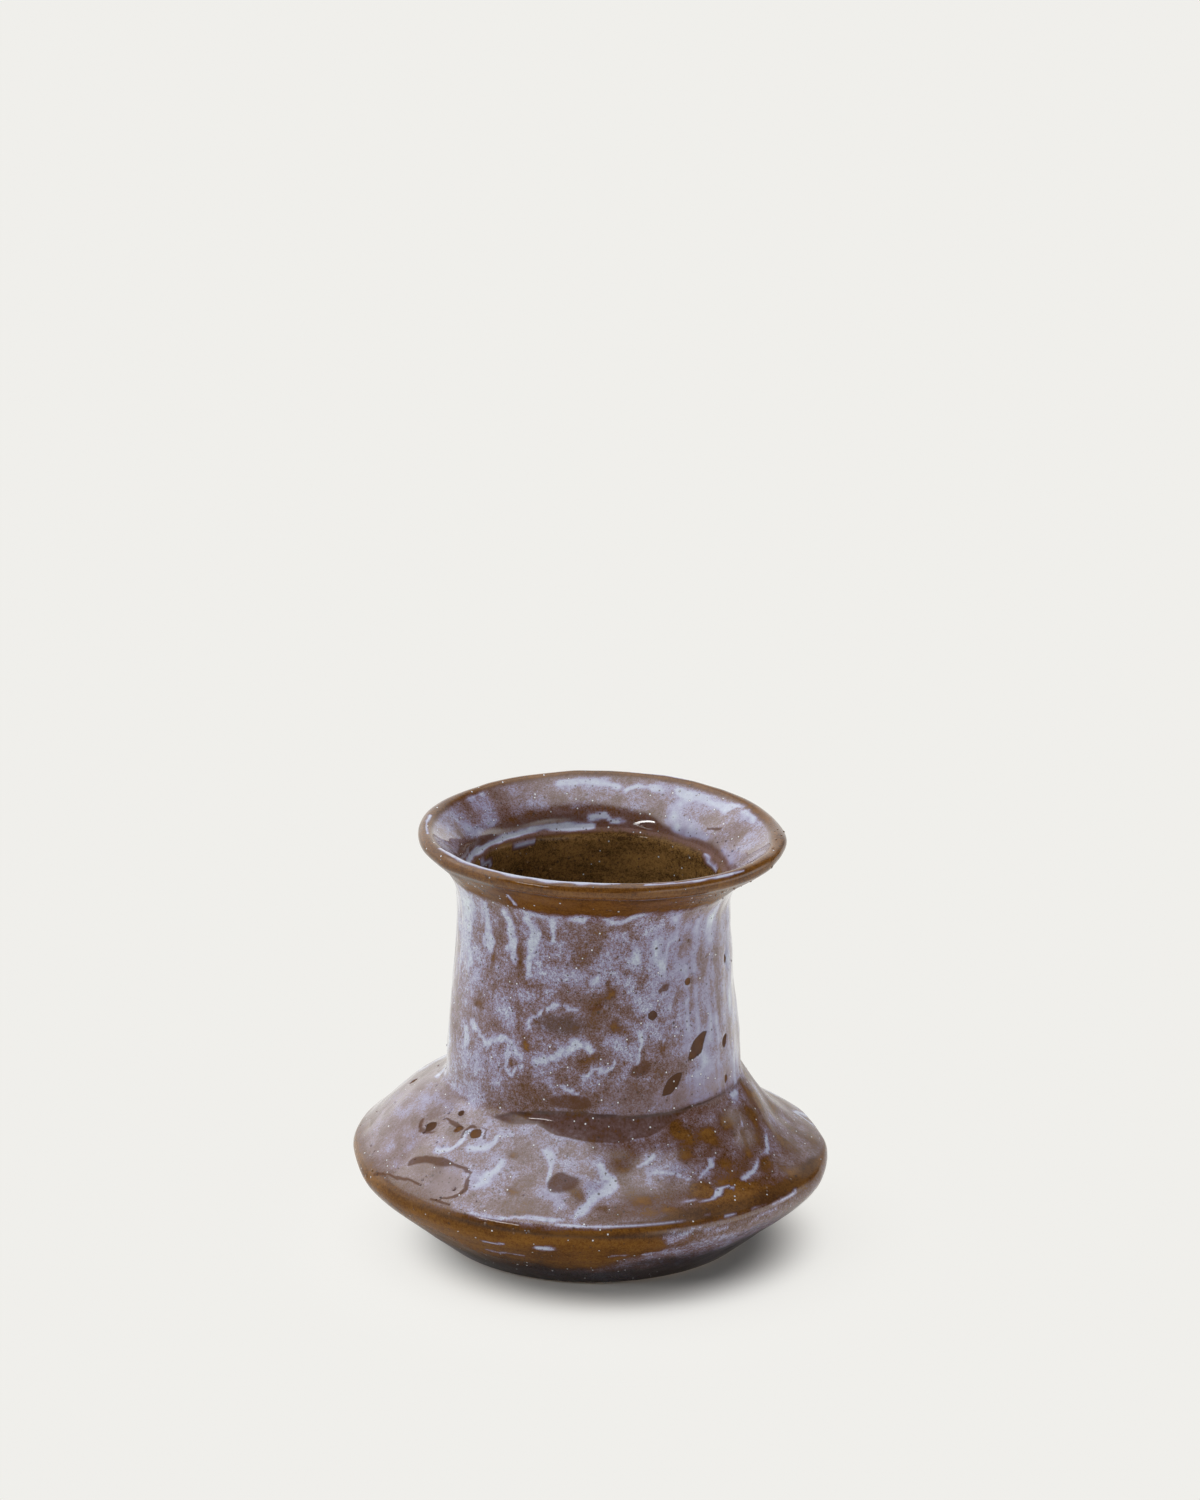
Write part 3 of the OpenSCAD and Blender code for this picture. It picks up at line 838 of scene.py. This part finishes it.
def blisters(low, high):
    """The blisters between two runs: their points, their places and the faces of one of them.

    A point is the middle on the wall plus radius * (a * side + b * up + rise * c * out), where a, b
    and c lie on a unit ball and side, up and out are the wall's own directions there.
    """
    inside_runs = (blister_marks[:, 1] > low) & (blister_marks[:, 1] < high)
    turn, run, radius = blister_marks[inside_runs].T
    middle = wall_points(run, glaze_t, turn)
    side = unit(wall_points(run, glaze_t, turn + 0.3) - middle)
    out = unit(np.cross(side, wall_points(run + 0.3, glaze_t, turn) - middle))
    axes = np.stack([side, np.cross(out, side), out * blister_rise], 1) * radius[:, None, None]
    faces = [grid_faces(BALL_RINGS, BALL_AROUND, False), *cap_faces(BALL_RINGS, BALL_AROUND)]
    return middle[:, None] + ball @ axes, run, turn, faces


print("a blister has", len(ball), "points")

# %% Mesh of a piece
sharp_angle = 50


def build_mesh(name, points, corners_of, fields):
    """A smooth mesh from points in millimetres, the corners of its faces and a value per point and field."""
    mesh = bpy.data.meshes.new(name)
    mesh.vertices.add(len(points))
    mesh.vertices.foreach_set("co", (points * MM).ravel())
    loops = np.concatenate([c.ravel() for c in corners_of])
    sizes = np.concatenate([np.full(len(c), c.shape[1]) for c in corners_of])
    mesh.loops.add(len(loops))
    mesh.loops.foreach_set("vertex_index", loops)
    mesh.polygons.add(len(sizes))
    mesh.polygons.foreach_set("loop_start", np.concatenate([[0], np.cumsum(sizes)[:-1]]))
    mesh.update(calc_edges=True)
    mesh.shade_smooth()
    mesh.set_sharp_from_angle(angle=math.radians(sharp_angle))
    for field, values in fields.items():
        stored = mesh.attributes.new(field, "FLOAT", "POINT").data
        stored.foreach_set("value", values.astype(np.float32))
    mesh.validate()
    return mesh


def make_piece(name, runs, lifts, around=AROUND, poles=(), blister_runs=()):
    """A closed piece from a loop of places, with its blisters and the glaze fields on its points."""
    run, turn = runs[:, None], (np.arange(around) * 360 / around)[None, :]
    points = [wall_points(run, lifts[:, None], turn).reshape(-1, 3)]
    corners_of = [grid_faces(len(runs), around, not poles)]
    fields = {key: [values.ravel()] for key, values in glaze_fields(run, turn).items()}
    if poles:
        points.append([[0, 0, z] for z in poles])
        corners_of.extend(cap_faces(len(runs), around))
        for values in fields.values():
            values.append(np.zeros(len(poles)))
    if blister_runs:
        domes, dome_run, dome_turn, faces = blisters(*blister_runs)
        first = sum(len(p) for p in points) + np.arange(len(domes))[:, None, None] * len(ball)
        points.append(domes.reshape(-1, 3))
        corners_of.extend((f + first).reshape(-1, f.shape[1]) for f in faces)
        dome_fields = glaze_fields(dome_run, dome_turn) | {"gloss": np.ones(len(domes))}
        for key, values in dome_fields.items():
            fields[key].append(np.repeat(values, len(ball)))
    joined_fields = {key: np.concatenate(values) for key, values in fields.items()}
    mesh = build_mesh(name, np.concatenate(points), corners_of, joined_fields)
    piece = bpy.data.objects.new(name, mesh)
    bpy.context.scene.collection.objects.link(piece)
    print(name, "has", sum(len(c) * (c.shape[1] - 2) for c in corners_of), "triangles")
    return piece


print("edges of more than", sharp_angle, "degrees stay sharp")

# %% [markdown]
# ## The clay sections
# The wall was built in sections: a bowl on the slab, a shoulder, a neck and a collar. Each is a
# loop up its outside and down its inside. They lie under the glaze, so a coarse grid is enough,
# but it has the same dents, so that no clay shows through. The slab keeps its solid.

# %% Loops of the clay sections
CLAY_AROUND, clay_below = 144, 0.3
CLAY_LOOPS = {
    "lower_bowl": [("slab", "keel", 16), ("keel_in", "floor", 8)],
    "shoulder": [("keel", "neck_foot", 18), ("neck_in", "keel_in", 8)],
    "neck": [("neck_foot", "collar", 26), ("ledge", "throat", 3), ("throat", "neck_in", 12)],
    "rim_collar": [("collar", "lip_out", 10), ("lip_out", "lip_in", 8), ("lip_in", "ledge", 10)],
}


def steps(low, high, count):
    """Evenly spaced runs from one corner of the profile to another."""
    return np.linspace(at[low], at[high], count)


def joined(*parts):
    """The runs of several stretches in a row, with a place that two of them share only once."""
    follows = [False] + [part[0] == last[1] for last, part in zip(parts, parts[1:])]
    return np.concatenate([steps(*part)[int(f):] for part, f in zip(parts, follows)])


print("rings of the clay:", {node: len(joined(*loop)) for node, loop in CLAY_LOOPS.items()})

# %% Make the clay sections
pieces = {}
for node, loop in CLAY_LOOPS.items():
    runs = joined(*loop)
    below = np.full(len(runs), -clay_below)
    pieces[node] = make_piece(node + "_wall", runs, below, CLAY_AROUND)

# %% [markdown]
# ## The coats of glaze
# A coat has a fine face outside and a coarse one on the clay, 0.8 mm behind it. The coarse one has
# more rings where the wall bends, so that it never comes through the fine one. The body's coat ends
# at the collar, where the rim's amber coat takes over, and the lining runs from the ledge down to
# the middle of the floor.

# %% Loops of the coats
at |= {"crease_up": at["neck_foot"] + 6, "crease_low": at["neck_foot"] - 8}
at |= {"keel_up": at["keel"] + 4, "keel_low": at["keel"] - 5, "floor_middle": at["end"] - 2}
body_face = joined(
    ("glaze_line", "slab", 9), ("slab", "keel", 34), ("keel", "neck_foot", 44),
    ("neck_foot", "neck_top", 48), ("neck_top", "collar", 13),
)
body_back = joined(
    ("collar", "neck_top", 3), ("neck_top", "crease_up", 3), ("crease_up", "crease_low", 7),
    ("crease_low", "keel_up", 3), ("keel_up", "keel_low", 5), ("keel_low", "slab", 3),
    ("slab", "glaze_line", 2),
)
rim_face = joined(("collar", "lip_out", 20), ("lip_out", "lip_in", 16), ("lip_in", "ledge", 26))
rim_back = joined(("ledge", "lip_in", 8), ("lip_in", "lip_out", 6), ("lip_out", "collar", 8))
lining_face = joined(("ledge", "throat", 8), ("throat", "neck_in", 44), ("neck_in", "floor_middle", 60))
lining_back = joined(
    ("floor_middle", "floor", 12), ("floor", "keel_in", 14), ("keel_in", "neck_in", 16),
    ("neck_in", "throat", 14), ("throat", "ledge", 3),
)


def faced(*sides):
    """Runs and lifts of the sides of a coat, each with its runs and its height over the clay."""
    lifts = [np.full(len(side), lift) for side, lift in sides]
    return np.concatenate([side for side, _ in sides]), np.concatenate(lifts)


body_loop = faced((body_face, glaze_t), (body_back, 0))
rim_loop = faced((rim_face, glaze_t), (rim_back, 0))
lining_loop = faced((lining_back, 0), (lining_face, glaze_t))
print("rings of the coats:", len(body_loop[0]), len(rim_loop[0]), len(lining_loop[0]))

# %% Make the coats of glaze
LINING_AROUND = 288
floor_poles = (base_t, base_t + glaze_t)
pieces["body_glaze"] = make_piece("body_coat", *body_loop, blister_runs=(0, at["collar"]))
pieces["rim_glaze"] = make_piece("rim_coat", *rim_loop, blister_runs=(at["collar"], at["ledge"]))
pieces["liner_glaze"] = make_piece(
    "lining_coat",
    *lining_loop,
    around=LINING_AROUND,
    poles=floor_poles,
    blister_runs=(at["throat"], at["end"]),
)

# %% [markdown]
# ## Shader sums
# A material is easier to read as a sum than as a drawing of nodes. The class below holds one output
# of a node. Adding, subtracting or multiplying it makes the Math node that does so, and one method
# makes any other node.


# %% A socket that can be added up
class Socket:
    """One output of a shader node, with Python's operators for its Math nodes."""

    def __init__(self, tree, output=None):
        self.tree = tree
        self.output = output

    def node(self, kind, settings=None, sockets=None, out=0):
        """Adds a node of a kind, makes its settings first, then fills or links its sockets."""
        made = self.tree.nodes.new(kind)
        for key, value in (settings or {}).items():
            if key == "stops":
                self.set_stops(made.color_ramp, value)
            else:
                setattr(made, key, value)
        for key, value in (sockets or {}).items():
            if isinstance(value, Socket):
                self.tree.links.new(value.output, made.inputs[key])
            else:
                made.inputs[key].default_value = value
        return Socket(self.tree, made.outputs[out] if len(made.outputs) else None)

    @staticmethod
    def set_stops(ramp, stops):
        """Gives a colour ramp its stops, as pairs of place and colour."""
        for _ in range(len(stops) - len(ramp.elements)):
            ramp.elements.new(0.5)
        for element, (position, colour) in zip(ramp.elements, stops):
            element.position = position
            element.color = colour

    def sum(self, operation, a, b):
        """The Math node that does one operation on two values."""
        return self.node("ShaderNodeMath", {"operation": operation}, {0: a, 1: b})

    def __add__(self, other):
        return self.sum("ADD", self, other)

    def __sub__(self, other):
        return self.sum("SUBTRACT", self, other)

    def __rsub__(self, other):
        return self.sum("SUBTRACT", other, self)

    def __mul__(self, other):
        return self.sum("MULTIPLY", self, other)

    def __truediv__(self, other):
        return self.sum("DIVIDE", self, other)

    __radd__ = __add__
    __rmul__ = __mul__

    def between(self, low, high):
        """0 below one value and 1 above another, with a smooth step between them."""
        limits = {"Value": self, "From Min": low, "From Max": high}
        return self.node("ShaderNodeMapRange", {"interpolation_type": "SMOOTHSTEP"}, limits)

    def blend(self, low, high):
        """A colour that goes from one to another as this value goes from 0 to 1."""
        return self.node("ShaderNodeMix", {"data_type": "RGBA"}, {0: self, 6: low, 7: high}, out=2)


print("a socket can:", [name for name in vars(Socket) if not name.startswith("_")])


# %% Helpers for materials
def rgb(red, green, blue):
    """A colour in linear light, with no transparency."""
    return (red, green, blue, 1.0)


def new_material(name):
    """A material with its shader node, and the place on the piece in metres."""
    material = bpy.data.materials.new(name)
    material.use_nodes = True
    shader = material.node_tree.nodes["Principled BSDF"]
    place = Socket(material.node_tree).node("ShaderNodeTexCoord", out="Object")
    return material, shader, place


def feed(shader, **links):
    """Links values to the shader's sockets, with underscores for the spaces in their names."""
    for name, value in links.items():
        value.tree.links.new(value.output, shader.inputs[name.replace("_", " ")])


def squeezed(place, upright):
    """The place with its height multiplied, so that a pattern lies flatter on the wall."""
    settings = {"operation": "MULTIPLY"}
    return place.node("ShaderNodeVectorMath", settings, {0: place, 1: (1, 1, upright)})


def bumped(height, strength, distance):
    """A normal that follows a height, with its strength and its depth in metres."""
    sockets = {"Strength": strength, "Distance": distance, "Height": height}
    return height.node("ShaderNodeBump", None, sockets, out="Normal")


def grains(place, scale, detail=2.0, rough=0.5):
    """Noise from 0 to 1 with this many grains to the metre."""
    sockets = {"Vector": place, "Scale": scale, "Detail": detail, "Roughness": rough}
    return place.node("ShaderNodeTexNoise", None, sockets, out="Fac")


def specks(place, scale, size, share):
    """Round specks: the cells to the metre, the radius as a share of a cell, and the share of cells."""
    sockets = {"Vector": place, "Scale": scale}
    cell = place.node("ShaderNodeTexVoronoi", None, sockets, out="Distance")
    pick = place.node("ShaderNodeTexVoronoi", None, sockets, out="Color")
    chosen = place.node("ShaderNodeSeparateColor", None, {0: pick}).between(1 - share, 1.02 - share)
    return (1 - cell.between(size * 0.6, size)) * chosen


print("white as a colour:", rgb(1, 1, 1))

# %% [markdown]
# ## The glaze
# On the real pot the glaze is glass: its colour lies deep and its top is as smooth as a mirror. So
# the thickness of the second coat, broken into grains, picks the colour on a ramp from amber to ice
# blue, and a clear coat on top gives the sharp reflections. Only colour, roughness, the weight of
# the clear coat and a faint ripple change over the wall. Specks are pinholes and burst bubbles, and
# the white top of a burst bubble is a painted glint. Each row has the cells to the metre, the radius
# in cells, the share of cells, the weight and the colour.

# %% Colours of the glaze
SECOND_COAT = [
    (0.06, rgb(0.11, 0.044, 0.012)),
    (0.20, rgb(0.116, 0.058, 0.044)),
    (0.36, rgb(0.15, 0.09, 0.086)),
    (0.50, rgb(0.205, 0.145, 0.166)),
    (0.60, rgb(0.235, 0.198, 0.294)),
    (0.70, rgb(0.288, 0.28, 0.405)),
    (0.80, rgb(0.37, 0.388, 0.5)),
    (0.90, rgb(0.475, 0.515, 0.59)),
    (1.00, rgb(0.58, 0.65, 0.7)),
]
STAIN = rgb(0.098, 0.045, 0.022)
PIT_DARK, PIT_AMBER = rgb(0.08, 0.038, 0.018), rgb(0.14, 0.066, 0.024)
PIT_EDGE, PINHOLE = rgb(0.05, 0.025, 0.014), rgb(0.06, 0.032, 0.02)
# Dark of pooled glass round the foot, and of the painted shade at the edges and in the fold.
POOL_AND_SHADE_DARK = rgb(0.02, 0.0125, 0.0125)
# The white top of a burst bubble is a painted glint.
BUBBLE_RING, PAINTED_GLINT = rgb(0.05, 0.03, 0.025), rgb(0.75, 0.76, 0.8)
AMBER = {
    "body_glaze": (rgb(0.074, 0.027, 0.0045), rgb(0.21, 0.092, 0.0175)),
    "rim_glaze": (rgb(0.071, 0.025, 0.0045), rgb(0.178, 0.075, 0.014)),
    # The lining's amber is lighter and yellower than the outside's: painted light inside the mouth.
    "liner_glaze": (rgb(0.045, 0.022, 0.007), rgb(0.31, 0.17, 0.055)),
}
SPECKS = [
    (900, 0.24, 0.25, 0.7, PINHOLE),
    (560, 0.22, 0.3, 0.8, PINHOLE),
    (420, 0.2, 0.5, 0.8, BUBBLE_RING),
    (420, 0.13, 0.4, 1.0, PAINTED_GLINT),
]
print("stops from amber to ice blue:", len(SECOND_COAT), "and kinds of specks:", len(SPECKS))


# %% Textures and fields of the glaze
def glaze_textures(place):
    """Noise of six sizes, those that add to the coat or the amber counted from -0.5 to 0.5."""
    return SimpleNamespace(
        lines=grains(squeezed(place, 9), 120, 3.0, 0.6) - 0.5,
        grain=grains(place, 1000, 2.0, 0.6) - 0.5,
        fine=grains(place, 2600, 1.0) - 0.5,
        fractal=grains(place, 220, 6.0, 0.65) - 0.5,
        broad=grains(place, 90, 3.0),
        streak=grains(squeezed(place, 2.5), 60, 4.0, 0.55),
    )


def stored_fields(place):
    """The fields that the mesh carries, read back as sockets."""
    return SimpleNamespace(**{
        key: place.node("ShaderNodeAttribute", {"attribute_name": key}, out="Fac") for key in FIELDS
    })


def glaze_masks(n, f):
    """1 inside the fold, the pits and the smudges: their fields with a ragged edge from the noise."""
    hollow = f.dark + n.fractal * 0.3
    return SimpleNamespace(
        fold=(f.crease + n.fractal * 0.1).between(0.47, 0.53),
        pit=hollow.between(0.47, 0.53),
        pit_middle=hollow.between(0.5, 0.6),
        smudge=(f.stain + n.fractal * 0.8 + n.grain * 0.6).between(0.3, 0.8) * 0.82,
    )


print("the shader reads", len(FIELDS), "fields from the mesh")


# %% Colour of the glaze
def coat_colour(place, n, f, m, amber):
    """The amber glass, and over it the second coat in grains, made smooth and thin in the fold as painted
    shade.

    Here and below n are the textures, f the stored fields and m the masks.
    """
    thickness = f.coat + f.grainy * (n.fractal * 0.9 + n.grain * 0.8 + n.fine * 1.0)
    # Painted shade: inside the fold the coat is set thin and smooth, so that the fold reads dark.
    fold_shade_thickness = f.coat * 0.3 + n.fractal * 0.7 + n.grain * 0.6 + 0.12
    thickness = thickness + m.fold * (fold_shade_thickness - thickness)
    streaks = n.streak + n.lines * 0.35 + n.grain * 0.7 + n.fine * 0.8
    glass = streaks.between(0.15, 0.85).blend(*amber)
    second = place.node("ShaderNodeValToRGB", {"stops": SECOND_COAT}, {0: thickness}, out="Color")
    return thickness.between(0.05, 0.2).blend(glass, second)


def marked_colour(colour, place, n, f, m):
    """The coat's colour with its stains, pits, painted shade, pinholes and burst bubbles laid on in turn.

    Round the foot the shade is partly pooled glass, and the white tops of the bubbles are painted glints.
    """
    pit_floor = n.broad.between(0.4, 0.6).blend(PIT_DARK, PIT_AMBER)
    pit_floor = m.pit_middle.blend(PIT_EDGE, pit_floor)
    colour = (m.pit * 0.95).blend(m.smudge.blend(colour, STAIN), pit_floor)
    colour = (n.fine.between(0.08, 0.3) * 0.4).blend(colour, PINHOLE)
    # Painted shade: the colour darkens round the foot (partly pooled glass), at the keel, crease and lip,
    # and in the fold.
    colour = (f.deep * 0.9 + m.fold * 0.22).blend(colour, POOL_AND_SHADE_DARK)
    # The last specks, the white tops of burst bubbles, are painted glints.
    for cells, size, share, weight, tint in SPECKS:
        colour = (specks(place, cells, size, share) * weight).blend(colour, tint)
    return colour


# The first colour printed is also the colour of the painted shade.
print("pools are", POOL_AND_SHADE_DARK[:3], "and stains are", STAIN[:3])

# %% Glaze material
base_ior, glass_ior, glass_rough = 1.08, 1.58, 0.02


def reactive_glaze(name, amber):
    """Amber glass under an uneven mauve and ice blue coat, with pits and burst bubbles."""
    material, shader, place = new_material(name)
    n, f = glaze_textures(place), stored_fields(place)
    m = glaze_masks(n, f)
    colour = coat_colour(place, n, f, m, amber)
    ripple = grains(place, 200, 2.0) + n.grain * 0.06
    feed(
        shader,
        Base_Color=marked_colour(colour, place, n, f, m),
        Roughness=0.2 + n.grain * 0.1 + m.pit * 0.3,
        Coat_Weight=f.gloss * (1 - m.pit) * (1 - m.smudge),
        Normal=bumped(ripple, 0.2, 0.0006),
    )
    shader.inputs["IOR"].default_value = base_ior
    shader.inputs["Coat Roughness"].default_value = glass_rough
    shader.inputs["Coat IOR"].default_value = glass_ior
    return material


GLAZES = {name: reactive_glaze(name, amber) for name, amber in AMBER.items()}
print("glazes:", list(GLAZES))

# %% [markdown]
# ## The clay
# Bare stoneware shows only under the foot. It is matt and a little sandy, with dark specks of iron
# that melted through. One flat colour would look like plastic, so clouds, sand and specks are
# laid over each other.

# %% Clay material
CLAY_DARK, CLAY_PALE = rgb(0.34, 0.21, 0.125), rgb(0.46, 0.31, 0.2)
SAND, IRON = rgb(0.55, 0.41, 0.29), rgb(0.06, 0.035, 0.025)


def stoneware():
    """Warm fired clay with sandy grain and iron specks."""
    material, shader, place = new_material("stoneware")
    cloud = grains(place, 60, 4.0, 0.6)
    sand = grains(place, 1600, 2.0)
    colour = cloud.between(0.3, 0.7).blend(CLAY_DARK, CLAY_PALE)
    colour = (sand.between(0.45, 0.75) * 0.35).blend(colour, SAND)
    colour = (specks(place, 380, 0.22, 0.2) * 0.85).blend(colour, IRON)
    rough_top = bumped(sand + cloud * 0.5, 0.5, 0.0003)
    feed(shader, Base_Color=colour, Roughness=0.78 + sand * 0.15, Normal=rough_top)
    return material


clay = stoneware()
print("clay:", clay.name)

# %% Put each piece in its place
for node, piece in pieces.items():
    slot = node if node in GLAZES else "stoneware"
    piece.data.materials.append(GLAZES.get(node, clay))
    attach(piece, "root")
    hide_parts(node)
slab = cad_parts["base_slab"]
for material_slot in slab.material_slots:
    material_slot.material = clay
print("dressed:", sorted(pieces), "and base_slab")

# %% [markdown]
# ## Floor and light
# The pot stands on pale paper. Away from the pot the camera sees the paper's plain colour, so that
# the ground is even, and near it the floor that the light falls on, with the pot's shadow. The glaze
# mirrors the same paper, but keeps the shade round the foot.

# %% Floor
PAPER = rgb(0.87, 0.862, 0.832)
floor_half, floor_gap = 9.0, 0.0002
shade_middle = (0.005, -0.008, 0)


def ray_kind(socket, kind):
    """1 for rays of one kind, such as Camera, and 0 for the others."""
    return socket.node("ShaderNodeLightPath", out=f"Is {kind} Ray")


floor_mesh = bpy.data.meshes.new("floor")
sides = np.array([[-1, -1], [1, -1], [1, 1], [-1, 1]]) * floor_half
floor_mesh.from_pydata([(x, y, -floor_gap) for x, y in sides], [], [(0, 1, 2, 3)])
floor = bpy.data.objects.new("floor", floor_mesh)
bpy.context.scene.collection.objects.link(floor)
print("floor of", 2 * floor_half, "metres")

# %% Floor paper
floor_material, floor_shader, place = new_material("floor_paper")
floor_shader.inputs["Base Color"].default_value = PAPER
floor_shader.inputs["Roughness"].default_value = 0.9
floor_shader.inputs["Specular IOR Level"].default_value = 0.0
points_apart = {0: place, 1: shade_middle}
from_shade = place.node("ShaderNodeVectorMath", {"operation": "DISTANCE"}, points_apart, out="Value")
cleared = from_shade.between(0.04, 0.066) * 0.85 + from_shade.between(0.05, 0.11) * 0.15
mirror_ray = place.sum("MAXIMUM", ray_kind(place, "Glossy"), ray_kind(place, "Transmission"))
plain_share = ray_kind(place, "Camera") * cleared + mirror_ray * from_shade.between(0.07, 0.16)
lit = Socket(floor_material.node_tree, floor_shader.outputs[0])
plain = place.node("ShaderNodeEmission", None, {"Color": PAPER})
mixed = place.node("ShaderNodeMixShader", None, {0: plain_share, 1: lit, 2: plain})
floor_out = floor_material.node_tree.nodes["Material Output"]
floor_material.node_tree.links.new(mixed.output, floor_out.inputs["Surface"])
floor.data.materials.append(floor_material)
print("floor is paper away from the pot")

# %% [markdown]
# A glaze is a mirror, so the light is a whole studio: a large soft box overhead and to the left, a
# white wall behind and to the left, a bright wall low on the right, and a small lamp in front on
# the left that makes the sharp glints. The camera's side stays dark, which gives the reflections
# their contrast. Lamps would light the floor unevenly, so the studio is drawn on the world's sky by
# direction. The camera itself sees paper there, while the glaze mirrors the studio.

# %% Studio sky
box_light, wall_light, right_light, lamp_light, room_light = 2.42, 1.15, 2.1, 24, 0.05
world = bpy.data.worlds.new("studio")
bpy.context.scene.world = world
world.use_nodes = True
sky = Socket(world.node_tree)
direction = sky.node("ShaderNodeTexCoord", out="Generated")
axis = sky.node("ShaderNodeSeparateXYZ", None, {0: direction})
dx, dy, dz = [Socket(world.node_tree, axis.output.node.outputs[k]) for k in range(3)]
up = sky.sum("MAXIMUM", dz, 0.02)
across, back = dx / up, dy / up
box = across.between(-2.6, -0.8) * (1 - across.between(0.1, 0.9))
box = box * (back - across * 0.2).between(-0.55, -0.25) * (1 - back.between(0.6, 1.3))
box = box * dz.between(0.02, 0.1)
wall = (dy * 0.75 - dx * 0.66).between(0.1, 0.5) * (1 - dz.between(0.5, 0.75))
right_wall = (dx * 0.9 - dy * 0.3).between(0.45, 0.8) * (1 - dz.between(0.25, 0.45))
lamp = (dx * -0.62 + dy * -0.6 + dz * 0.505).between(0.985, 0.988)
lamp = lamp * dz.between(0.475, 0.48) * (1 - dz.between(0.525, 0.53))
studio = box * box_light + wall * wall_light + right_wall * right_light
studio = studio + lamp * lamp_light + room_light
seen = sky.sum("MAXIMUM", ray_kind(sky, "Camera"), ray_kind(sky, "Transmission"))
light = seen.blend(rgb(1, 1, 1), PAPER)
strength = studio * (1 - seen) + seen
background = world.node_tree.nodes["Background"]
world.node_tree.links.new(light.output, background.inputs["Color"])
world.node_tree.links.new(strength.output, background.inputs["Strength"])
print("studio sky with a soft box, two walls and a lamp")

# %% [markdown]
# ## Camera
# The photograph was taken from a little above, with a long lens. The middle of the pot sits low in
# a tall frame, so the camera looks a little over it.

# %% Camera
IMAGE_W, IMAGE_H = 1200, 1500
distance, elevation = 2.0, 20.57
target, target_pixel = (0.0, 0.0, 0.060), (593.5, 1034.7)
lens, sensor = 164.3, 36.0
camera_data = bpy.data.cameras.new("camera")
camera_data.lens, camera_data.sensor_width = lens, sensor
camera = bpy.data.objects.new("camera", camera_data)
bpy.context.scene.collection.objects.link(camera)
focal_px = lens / sensor * IMAGE_H
tilt = math.degrees(math.atan((target_pixel[1] - IMAGE_H / 2) / focal_px))
pan = math.degrees(math.atan((IMAGE_W / 2 - target_pixel[0]) / focal_px))
lift, away = math.sin(math.radians(elevation)), math.cos(math.radians(elevation))
camera.location = (target[0], target[1] - distance * away, target[2] + distance * lift)
camera.rotation_euler = (math.radians(90 - elevation + tilt), 0, math.radians(-pan))
bpy.context.scene.camera = camera
bpy.context.scene.view_settings.view_transform = "Standard"
print("camera tilted up by", round(tilt, 2), "degrees from the pot")
